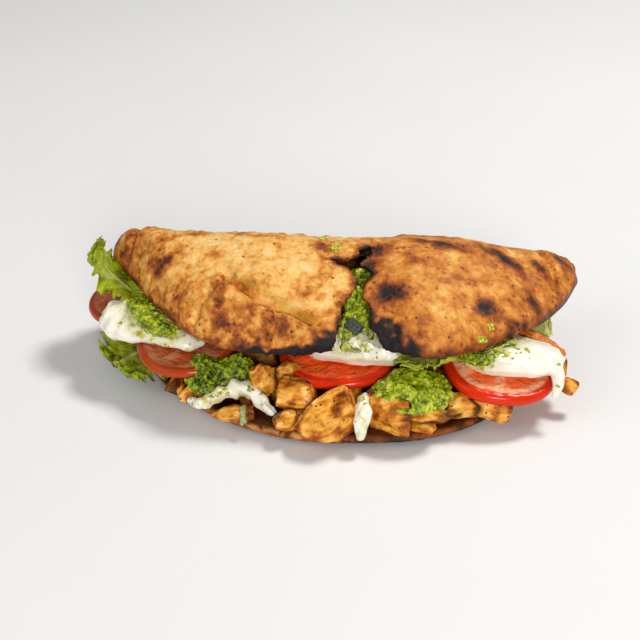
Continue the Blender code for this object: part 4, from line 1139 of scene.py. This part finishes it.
def buildSheet(name, newName, path, halves, across, waveHeight, waveCount, ruffle, pale,
               thickness=0.8, columns=120, rows=84, ragged=0.13, slack=2.0, frillDepth=4):
    side = Vector(across).normalized()
    spine = smoothLine([p + (w,) for p, w in zip(path, halves)], 40)
    seed = len(name)
    grid, ribs, edges, hollows = [], [], [], []
    for i in range(columns + 1):
        t = i / columns
        k = min(int(round(t * (len(spine) - 1))), len(spine) - 1)
        x, y, z, half = spine[k]
        along = Vector(spine[min(k + 6, len(spine) - 1)][:3]) - Vector(spine[max(k - 6, 0)][:3])
        face = along.cross(side).normalized()
        taper = 0.55 + 0.45 * min(min(t, 1 - t) * 8, 1)
        tip = min(max((t - 0.72) * 3.6, 0), 1)
        row, ribRow, edgeRow, hollowRow = [], [], [], []
        for j in range(rows + 1):
            v = 2 * j / rows - 1
            frill = math.sin(2 * math.pi * waveCount * t + 2.2 * v) * abs(v) ** 1.5
            lip = math.sin(2.6 * math.pi * v + 0.5) * t ** 3
            rim = max(abs(v), tip)
            curl = rim ** frillDepth * (math.sin(2 * math.pi * 6.3 * t + 4 * v + seed) * abs(v)
                               + math.sin(2 * math.pi * 3.1 * v + 1) * tip)
            curl += 0.6 * rim ** 6 * (math.sin(2 * math.pi * 15.7 * t + seed) * abs(v)
                                      + math.sin(2 * math.pi * 7.3 * v) * tip)
            rise = waveHeight * (0.8 * frill + 0.7 * lip) + ruffle * curl
            # pointed lobes round the edge, with narrow notches
            notch = abs(math.sin(math.pi * 4.5 * t + seed + (1.3 if v > 0 else 0)))
            lobes = 1 - ragged * (1.1 - notch) ** 3 * 1.5
            lobes += ragged * noise.noise(Vector((t * 22, 2 if v > 0 else 7, seed)))
            notchTip = abs(math.sin(math.pi * 2.5 * v + seed))
            reach = ragged * half * (-(1.1 - notchTip) ** 3 * 1.3 + noise.noise(Vector((v * 9, 3, seed)))) * tip
            spot = Vector((x, y, z)) + side * half * taper * v * lobes + along.normalized() * reach
            bubble = noise.noise(spot / 3.0) * 0.6 + noise.noise(spot / 6.5) * 0.8
            rise += bubble * min(ruffle, 1.4)
            row.append(spot + face * rise)
            vein = abs((t * 8 - abs(v) * 2.6) % 1 - 0.5) * 2
            ribRow.append(max(math.exp(-(v / 0.09) ** 2) * (1 - 0.6 * t),
                              0.55 * math.exp(-((1 - vein) / 0.10) ** 2) * (1 - abs(v))))
            edgeRow.append(rim ** 4)
            # painted shade: darker where the curls and bubbles dip, more where pale is below zero
            hollowRow.append(min(max(-0.75 * curl - 0.9 * bubble + 0.05 - pale, 0), 1))
        grid.append(row)
        ribs.append(ribRow)
        edges.append(edgeRow)
        hollows.append(hollowRow)
    points, rib, edge, hollow = [], [], [], []
    upper, lower = {}, {}
    for i in range(columns + 1):
        for j in range(rows + 1):
            di = grid[min(i + 1, columns)][j] - grid[max(i - 1, 0)][j]
            dj = grid[i][min(j + 1, rows)] - grid[i][max(j - 1, 0)]
            normal = di.cross(dj).normalized()
            thin = thickness * (0.45 + 0.55 * (1 - edges[i][j])) * (1 + 0.8 * ribs[i][j])
            for store, turn in ((upper, 1), (lower, -1)):
                store[i, j] = len(points)
                points.append(grid[i][j] + normal * turn * thin / 2)
                rib.append(ribs[i][j])
                edge.append(edges[i][j])
                hollow.append(hollows[i][j])
    faces = []
    for i in range(columns):
        for j in range(rows):
            faces.append((upper[i, j], upper[i + 1, j], upper[i + 1, j + 1], upper[i, j + 1]))
            faces.append((lower[i, j + 1], lower[i + 1, j + 1], lower[i + 1, j], lower[i, j]))
    walk = [(i, 0) for i in range(columns)] + [(columns, j) for j in range(rows)]
    walk += [(i, rows) for i in range(columns, 0, -1)] + [(0, j) for j in range(rows, 0, -1)]
    for a, b in zip(walk, walk[1:] + walk[:1]):
        faces.append((upper[b], upper[a], lower[a], lower[b]))
    mesh = meshFrom(newName, onFrame(points), faces, {
        "rib": rib, "edge": edge, "hollow": hollow, "pale": [pale] * len(points)})
    turnOut(mesh)
    keepWithin(mesh, name, slack * mm, thin=True)
    return linkObject(newName, mesh)


crispLettuce = leafMaterial(leafLook)
for leafName, values in leafShapes.items():
    leaf = buildSheet(leafName, "leaf" + leafName[7:], *values[:-1], frillDepth=values[-1])
    finishPiece(leaf, crispLettuce, "lettuce", leafName)
print("leaves")

# small sheets: pepper strip, onion and basil
# slot, path, width, thickness, light and dark colour, roughness
stripShapes = {
    "pepper_strip": ("pepper", [(94, -24, 34), (102, -29, 33), (110, -34, 30.5), (117, -41, 27)], 6.0, 1.4,
                     (0.80, 0.24, 0.018), (0.58, 0.12, 0.010), 0.25),
    "onion_piece": ("onion", [(-35.5, -63, 13), (-35.5, -67, 11), (-35, -70, 8.0)], 3.6, 1.8,
                    (0.60, 0.64, 0.34), (0.36, 0.44, 0.12), 0.15),
    "basil_leaf": ("basil", [(13, -48, 50), (16, -51, 49.5), (19, -53, 47.5)], 8.0, 0.9,
                   (0.010, 0.020, 0.007), (0.030, 0.048, 0.018), 0.30),
}


def stripMaterial(name, light, dark, gloss):
    material, tree, shader, place = startMaterial(name)
    cloud = patches(tree, place, 3, 0.3, 0.7, 5, 0.6)
    link(tree, mixColour(tree, cloud, light, dark), shader, "Base Color")
    rough = addNode(tree, "ShaderNodeMapRange", {"Value": cloud, "To Min": gloss, "To Max": gloss + 0.15})
    link(tree, rough.outputs["Result"], shader, "Roughness")
    fine = addNode(tree, "ShaderNodeTexNoise", {"Vector": place, "Scale": 900.0, "Detail": 4.0}).outputs["Fac"]
    bumpFrom(tree, shader, calc(tree, "ADD", fine, cloud), 0.0005, 0.8)
    return material


for nodeName, (slotName, path, width, thickness, light, dark, gloss) in stripShapes.items():
    strip = buildSheet(nodeName, "strip_" + slotName, path, [width / 2] * len(path), (0.5, 0.8, 0.1), 0.4, 1.0, 0.3,
                       0.0, thickness=thickness, columns=44, rows=28, ragged=0.10, slack=0.7)
    finishPiece(strip, stripMaterial(slotName + "Skin", light, dark, gloss), slotName, nodeName)

# chicken
chickenLook = {
    # level and colour, from seared to pale
    "cooked": [
        (0.05, (0.130, 0.026, 0.002)), (0.28, (0.40, 0.098, 0.005)), (0.50, (0.70, 0.255, 0.016)),
        (0.72, (0.94, 0.46, 0.075)), (0.95, (1.00, 0.66, 0.24)),
    ],
    "level": 0.67,
    "pepper": (0.016, 0.010, 0.008),
    # dark brown of juices, also painted shade where chunks meet
    "juiceAndShade": (0.040, 0.008, 0.001),
}
# Pieces: centre, size, turn about Z, tilt about Y in degrees.
chickenShapes = [
    ((3, -74.5, 14.5), (28, 17, 20), 12, -18), ((33, -70, 15), (20, 15, 20), -8, -5),
    ((-10, -63, 19.5), (19, 14, 13), -10, 10), ((-14, -71, 11), (13, 9, 9), 25, 0),
    ((-25, -50.5, 20.5), (13, 11, 16), 40, -15), ((-14, -49, 24), (13, 10, 9), 15, 10),
    ((13, -60, 16.5), (14, 12, 11), 20, 5), ((51, -69, 14), (30, 8, 8), 24, 22), ((66, -63, 13), (22, 9, 11), 28, 10),
    ((46, -70, 8.5), (16, 9, 6), -20, 0), ((80, -59, 11), (20, 14, 12), 5, 0), ((-60, -48, 12), (15, 7, 9), 35, -20),
    ((-72, -43, 12), (13, 8, 10), 60, 15), ((-40, -62, 9), (18, 9, 6), 12, 0), ((115, -36, 19), (10, 15, 10), 20, 25),
    ((117, -46, 15), (13, 6, 6), -25, 15), ((103, -40, 13), (17, 14, 10), 0, 0),
]


def chickenMaterial(look):
    material, tree, shader, place = startMaterial("grilledChicken")
    sear = attributeValue(tree, "sear")
    fibre = attributeValue(tree, "fibre")
    small = patches(tree, place, 2.0, 0.42, 0.70, 5, 0.6, (0.4, 0, 0))
    level = calc(tree, "ADD", look["level"], calc(tree, "MULTIPLY", calc(tree, "SUBTRACT", fibre, 0.5), 0.24))
    for size, share in ((8, 0.95), (2.6, 0.58)):
        level = calc(tree, "ADD", level, calc(tree, "MULTIPLY", lumps(tree, place, size, 4.0, 0.6), share))
    level = calc(tree, "SUBTRACT", level, calc(tree, "MULTIPLY", sear, 0.62))
    base = colourRamp(tree, level, look["cooked"])
    # dark where chunks meet: partly juices, partly painted shade
    base = mixColour(tree, calc(tree, "POWER", attributeValue(tree, "gap"), 1.3), base, look["juiceAndShade"])
    cells = addNode(tree, "ShaderNodeTexVoronoi", {"Vector": place, "Scale": 480.0})
    speck = calc(tree, "LESS_THAN", cells.outputs["Distance"], 0.24)
    pick = addNode(tree, "ShaderNodeSeparateColor", {"Color": cells.outputs["Color"]}).outputs["Red"]
    speck = calc(tree, "MULTIPLY", speck, calc(tree, "GREATER_THAN", pick, 0.90))
    base = mixColour(tree, speck, base, look["pepper"])
    link(tree, base, shader, "Base Color")
    rough = addNode(tree, "ShaderNodeMapRange", {"Value": small, "To Min": 0.16, "To Max": 0.36}).outputs["Result"]
    link(tree, rough, shader, "Roughness")
    fine = addNode(tree, "ShaderNodeTexNoise", {"Vector": place, "Scale": 500.0, "Detail": 4.0}).outputs["Fac"]
    bumpFrom(tree, shader, calc(tree, "ADD", fine, calc(tree, "MULTIPLY", fibre, 0.5)), 0.0009, 0.8)
    shader.inputs["Specular IOR Level"].default_value = 0.18
    shader.inputs["Coat Weight"].default_value = 0.16
    shader.inputs["Coat Roughness"].default_value = 0.09
    return material


def chunkPoints(index, centre, size, turn, tilt, cuts):
    # uneven block with crisp cut faces, and fibres along its length
    work = bmesh.new()
    bmesh.ops.create_cube(work, size=1)
    bmesh.ops.subdivide_edges(work, edges=work.edges, cuts=cuts, use_grid_fill=True)
    shift = Vector((index * 7.3, index * 3.1, 0))
    draw = random.Random(index)
    planes = []
    for k in range(9):
        out = Vector((draw.uniform(-1, 1), draw.uniform(-1, 1), draw.uniform(-1, 1))).normalized()
        planes.append((out, draw.uniform(0.38, 0.48)))
    points, fibres, sears = [], [], []
    scale = Vector(size) * 1.06
    for vert in work.verts:
        p = vert.co.lerp(vert.co.normalized() * 0.58, 0.45)
        p *= 1 + 0.10 * noise.noise(p * 2.2 + shift)
        cut = 0
        for out, far in planes:
            over = p.dot(out) - far
            if over > 0:
                p -= out * over
                cut = max(cut, min(over / 0.05, 1))
        edgeOf = p.length
        p = Vector((p.x * scale.x, p.y * scale.y, p.z * scale.z))
        strand = noise.noise(Vector((p.x / 11, p.y / 2.0, p.z / 2.0)) + shift)
        fine = noise.noise(Vector((p.x / 4, p.y / 0.8, p.z / 0.8)) + shift)
        groove = 1 - 2 * abs(noise.noise(Vector((p.x / 14, p.y / 3.2, p.z / 3.2)) + shift * 3))
        groove = max(groove - 0.80, 0) / 0.20
        lumpy = noise.noise(p / 4 + shift)
        ends = 0.25 * noise.noise(Vector((0, p.y / 1.3, p.z / 1.3)) + shift) * (2 * p.x / scale.x)
        p += p.normalized() * (0.15 * strand + 0.06 * fine + 0.50 * lumpy - 0.15 * groove)
        p.x += ends
        points.append(p)
        fibres.append(min(max(0.5 + 0.9 * strand + 0.4 * fine - 0.3 * groove, 0), 1))
        sears.append(max(0.16 + 1.1 * noise.noise(p / 6 + shift * 2) + 2.4 * (edgeOf - 0.47)
                         + 0.10 * groove - 0.08 * cut, 0))
    faces = [tuple(v.index for v in f.verts) for f in work.faces]
    work.free()
    spin = Matrix.Translation(centre) @ Matrix.Rotation(math.radians(turn), 4, "Z")
    spin = spin @ Matrix.Rotation(math.radians(tilt), 4, "Y")
    return [spin @ p for p in points], faces, fibres, sears


def chunkGaps(points, faces, ends):
    # 1 where a chunk meets its neighbours, falling off over a millimetre or two
    reach = 2.2
    trees, firstPoint, firstFace = [], 0, 0
    for lastPoint, lastFace in ends:
        own = [tuple(index - firstPoint for index in face) for face in faces[firstFace:lastFace]]
        trees.append(BVHTree.FromPolygons(points[firstPoint:lastPoint], own))
        firstPoint, firstFace = lastPoint, lastFace
    gaps, firstPoint = [], 0
    for k, (lastPoint, lastFace) in enumerate(ends):
        for p in points[firstPoint:lastPoint]:
            near = reach
            for other, tree in enumerate(trees):
                if other != k:
                    found = tree.find_nearest(p, near)
                    near = found[3] if found[0] is not None else near
            gaps.append(1 - near / reach)
        firstPoint = lastPoint
    return gaps


def buildChunks():
    points, faces, fibre, sear, ends = [], [], [], [], []
    for k, (centre, size, turn, tilt) in enumerate(chickenShapes):
        cuts = 34 if max(size) > 17 else 22
        more, moreFaces, fibres, sears = chunkPoints(k + 1, centre, size, turn, tilt, cuts)
        base = len(points)
        points += more
        faces += [tuple(base + index for index in face) for face in moreFaces]
        fibre += fibres
        sear += sears
        ends.append((len(points), len(faces)))
    mesh = meshFrom("chickenPieces", onFrame(points), faces, {
        "fibre": fibre, "sear": sear, "gap": chunkGaps(points, faces, ends)})
    turnOut(mesh)
    fairSurface(mesh, 2)
    keepWithin(mesh, "chicken", 0.9 * mm)
    return linkObject("chickenPieces", mesh)


def sinkUnder(mesh, cover, reach, depth):
    # moves what lies near another piece's surface to a depth below it, both in millimetres
    tree = BVHTree.FromObject(cover, bpy.context.evaluated_depsgraph_get())
    points = points3(mesh)
    for k, p in enumerate(points):
        place, normal, index, away = tree.find_nearest(Vector(p), reach * mm)
        if place is not None and (Vector(p) - place).dot(normal) > -depth * mm:
            points[k] = place - normal * depth * mm
    setPoints(mesh, points)


def buildChickenCore():
    piece = refinedCopy("chicken", "chickenCore", 1.3 * mm, 5)
    mesh = piece.data
    places = tablePoints(mesh)
    heights, crown = clotHeights(places, 7.0, 3.0, 1.6)
    pushOut(mesh, heights * 0.8 - 2.0)
    sinkUnder(mesh, chunkPiece, 4.2, 1.1)
    keepWithin(mesh, "chicken", 0)
    fairSurface(mesh, 6)
    setAttribute(mesh, "fibre", np.clip(0.4 + noiseAt(places * (0.3, 1, 1), 1.8), 0, 1))
    # painted shade: the core shows only between the chunks, so it is darkened all over, and more between its own
    # clumps
    setAttribute(mesh, "sear", np.clip(noiseAt(places, 7, (2, 0, 0)) + 0.45 - 0.3 * crown, 0, 1))
    setAttribute(mesh, "gap", np.full(len(places), 0.8))
    return piece


grilledChicken = chickenMaterial(chickenLook)
chunkPiece = finishPiece(buildChunks(), grilledChicken, "chicken", "chicken")
corePiece = finishPiece(buildChickenCore(), grilledChicken, "chicken", "chicken")
print("chicken", len(chunkPiece.data.polygons) + len(corePiece.data.polygons), "faces")

# scattered bits
# Base pieces, density per square centimetre, smallest and largest in millimetres, flatness, seed, colours, replaced nodes.
bitKinds = {
    "herbFlakes": ("pesto", ["mozzarella_left", "mozzarella_centre", "mozzarella_right", "mozzarella_strand",
                             "mozzarella_drip"], 26, 0.4, 2.1, 0.3, 3, (0.25, 0.31, 0.004), (0.56, 0.60, 0.03), 0.3),
    "pepperSpecks": ("chicken", ["chickenPieces"], 9, 0.25, 0.60, 0.6, 8, (0.020, 0.010, 0.006), (0.06, 0.025, 0.01), 0.5),
    "greenSpecks": ("pesto", ["chickenPieces"], 2.2, 0.35, 1.0, 0.5, 12, (0.14, 0.18, 0.003), (0.36, 0.38, 0.02), 0.3),
}


def scatterTree():
    # irregular bits at random places of a surface, thickest where the "bits" mask is high
    tree = bpy.data.node_groups.new("scatterBits", "GeometryNodeTree")
    face = tree.interface
    face.new_socket("Geometry", in_out="INPUT", socket_type="NodeSocketGeometry")
    for key, value in (("Density", 1000.0), ("Smallest", 0.0005), ("Largest", 0.001), ("Flatness", 0.4)):
        face.new_socket(key, in_out="INPUT", socket_type="NodeSocketFloat").default_value = value
    face.new_socket("Seed", in_out="INPUT", socket_type="NodeSocketInt").default_value = 1
    face.new_socket("Material", in_out="INPUT", socket_type="NodeSocketMaterial")
    face.new_socket("Geometry", in_out="OUTPUT", socket_type="NodeSocketGeometry")
    start = tree.nodes.new("NodeGroupInput").outputs
    end = tree.nodes.new("NodeGroupOutput").inputs
    mask = addNode(tree, "GeometryNodeInputNamedAttribute", {"Name": "bits"}, data_type="FLOAT").outputs["Attribute"]
    density = addNode(tree, "ShaderNodeMath", {0: mask, 1: start["Density"]}, operation="MULTIPLY").outputs[0]
    spread = addNode(tree, "GeometryNodeDistributePointsOnFaces", {
        "Mesh": start["Geometry"], "Density": density, "Seed": start["Seed"]})
    ball = addNode(tree, "GeometryNodeMeshIcoSphere", {"Radius": 0.5, "Subdivisions": 2}).outputs["Mesh"]
    place = addNode(tree, "GeometryNodeInputPosition").outputs[0]
    wobble = addNode(tree, "ShaderNodeTexNoise", {"Vector": place, "Scale": 2.2, "Detail": 2.0})
    shift = addNode(tree, "ShaderNodeVectorMath", {0: wobble.outputs["Color"], 1: (0.5, 0.5, 0.5)},
                    operation="SUBTRACT").outputs[0]
    bit = addNode(tree, "GeometryNodeSetPosition", {"Geometry": ball, "Offset": shift}).outputs["Geometry"]
    size = addNode(tree, "FunctionNodeRandomValue", {
        "Min": start["Smallest"], "Max": start["Largest"], "Seed": start["Seed"]}, data_type="FLOAT")
    longer = addNode(tree, "FunctionNodeRandomValue", {"Min": 0.6, "Max": 1.7, "Seed": 5}, data_type="FLOAT")
    size = next(socket for socket in size.outputs if socket.enabled)
    longer = next(socket for socket in longer.outputs if socket.enabled)
    length = addNode(tree, "ShaderNodeMath", {0: size, 1: longer}, operation="MULTIPLY").outputs[0]
    height = addNode(tree, "ShaderNodeMath", {0: size, 1: start["Flatness"]}, operation="MULTIPLY").outputs[0]
    scale = addNode(tree, "ShaderNodeCombineXYZ", {"X": length, "Y": size, "Z": height}).outputs[0]
    placed = addNode(tree, "GeometryNodeInstanceOnPoints", {
        "Points": spread.outputs["Points"], "Instance": bit, "Rotation": spread.outputs["Rotation"], "Scale": scale})
    spin = addNode(tree, "FunctionNodeRandomValue", {}, data_type="FLOAT_VECTOR")
    spin.inputs["Min"].default_value = (-0.3, -0.3, 0)
    spin.inputs["Max"].default_value = (0.3, 0.3, 6.28)
    turned = addNode(tree, "GeometryNodeRotateInstances", {
        "Instances": placed.outputs["Instances"], "Rotation": spin.outputs["Value"], "Local Space": True})
    real = addNode(tree, "GeometryNodeRealizeInstances", {"Geometry": turned.outputs["Instances"]})
    done = addNode(tree, "GeometryNodeSetMaterial", {
        "Geometry": real.outputs["Geometry"], "Material": start["Material"]})
    tree.links.new(done.outputs["Geometry"], end["Geometry"])
    return tree


bitsTree = scatterTree()
bitSockets = {item.name: item.identifier for item in bitsTree.interface.items_tree
              if item.item_type == "SOCKET" and item.in_out == "INPUT"}


def maskBits(name, mesh):
    # bits lie in drifts: near the pesto on cheese, anywhere on chicken
    places = tablePoints(mesh)
    drift = np.clip(0.5 + 2.2 * noiseAt(places, 5, (6, 6, 0)), 0, 1) ** 2
    up = np.clip(normals3(mesh)[:, 2] * 2 + 0.6, 0, 1)
    if "herby" in mesh.attributes:
        herby = np.empty(len(places), dtype=np.float32)
        mesh.attributes["herby"].data.foreach_get("value", herby)
        drift = drift * herby
    setAttribute(mesh, "bits", drift * up)


def buildBits(name, bases, density, smallest, largest, flatness, seed, material):
    work = bmesh.new()
    for k, base in enumerate(bases):
        mesh = base.data.copy()
        maskBits(base.name, mesh)
        holder = linkObject("bitHolder", mesh)
        scatter = holder.modifiers.new("bits", "NODES")
        scatter.node_group = bitsTree
        for key, value in (("Density", density * 1e4), ("Smallest", smallest * mm), ("Largest", largest * mm),
                           ("Flatness", flatness), ("Seed", seed + k), ("Material", material)):
            scatter[bitSockets[key]] = value
        graph = bpy.context.evaluated_depsgraph_get()
        found = bpy.data.meshes.new_from_object(holder.evaluated_get(graph))
        holder.modifiers.clear()
        work.from_mesh(found)
        bpy.data.objects.remove(holder)
        bpy.data.meshes.remove(found)
    mesh = bpy.data.meshes.new(name)
    work.to_mesh(mesh)
    work.free()
    return linkObject(name, mesh)


for bitName, (slotName, baseNames, density, smallest, largest, flatness, seed, dark, light, gloss) in bitKinds.items():
    bitMaterial = stripMaterial(bitName, dark, light, gloss)
    bases = [chunkPiece if name == "chickenPieces" else cheesePieces[name] for name in baseNames]
    bits = buildBits(bitName, bases, density, smallest, largest, flatness, seed, bitMaterial)
    finishPiece(bits, bitMaterial, slotName, *["chicken" if name == "chickenPieces" else name for name in baseNames])
    print(bitName, len(bits.data.polygons), "faces")

# camera, light and floor
cameraShape = {"place": (0.5, -535.9, 329.4), "pitch": 29.7, "lens": 68.4}


def addCamera(shape):
    data = bpy.data.cameras.new("camera")
    data.lens = shape["lens"]
    data.sensor_width = 36
    camera = linkObject("camera", data)
    camera.location = origin + Vector(shape["place"]) * mm
    camera.rotation_euler = (math.radians(90 - shape["pitch"]), 0, 0)
    bpy.context.scene.camera = camera


lamps = {
    "key": ((0.75, 0.55, 1.60), 0.38, 23.5, (1.0, 0.98, 0.95)),
    "fill": ((-1.3, -0.6, 1.2), 1.4, 7.4, (1.0, 1.0, 1.0)),
    "front": ((0.32, -1.95, 0.80), 0.55, 24.5, (1.0, 0.99, 0.97)),
}


def addLamp(name, place, size, power, colour):
    data = bpy.data.lights.new(name, "AREA")
    data.shape = "SQUARE"
    data.size = size
    data.energy = power
    data.color = colour
    lamp = linkObject(name, data)
    lamp.location = place
    lamp.rotation_euler = (Vector((0, 0, 0.03)) - Vector(place)).to_track_quat("-Z", "Y").to_euler()


def addFloor():
    mesh = meshFrom("floor", [(-3, -3, 0), (3, -3, 0), (3, 3, 0), (-3, 3, 0)], [(0, 1, 2, 3)])
    floor = linkObject("floor", mesh)
    material, tree, shader, place = startMaterial("paleFloor")
    tint = mixColour(tree, patches(tree, place, 400, 0.3, 0.7), (0.80, 0.80, 0.80), (0.83, 0.83, 0.83))
    link(tree, tint, shader, "Base Color")
    shader.inputs["Roughness"].default_value = 0.6
    mesh.materials.append(material)


addCamera(cameraShape)
for lampName, values in lamps.items():
    addLamp(lampName, *values)
addFloor()
world = bpy.data.worlds.new("studio")
world.use_nodes = True
world.node_tree.nodes["Background"].inputs["Color"].default_value = (1, 1, 1, 1)
world.node_tree.nodes["Background"].inputs["Strength"].default_value = 0.21
bpy.context.scene.world = world
bpy.context.scene.view_settings.view_transform = "Standard"
print("camera and light")
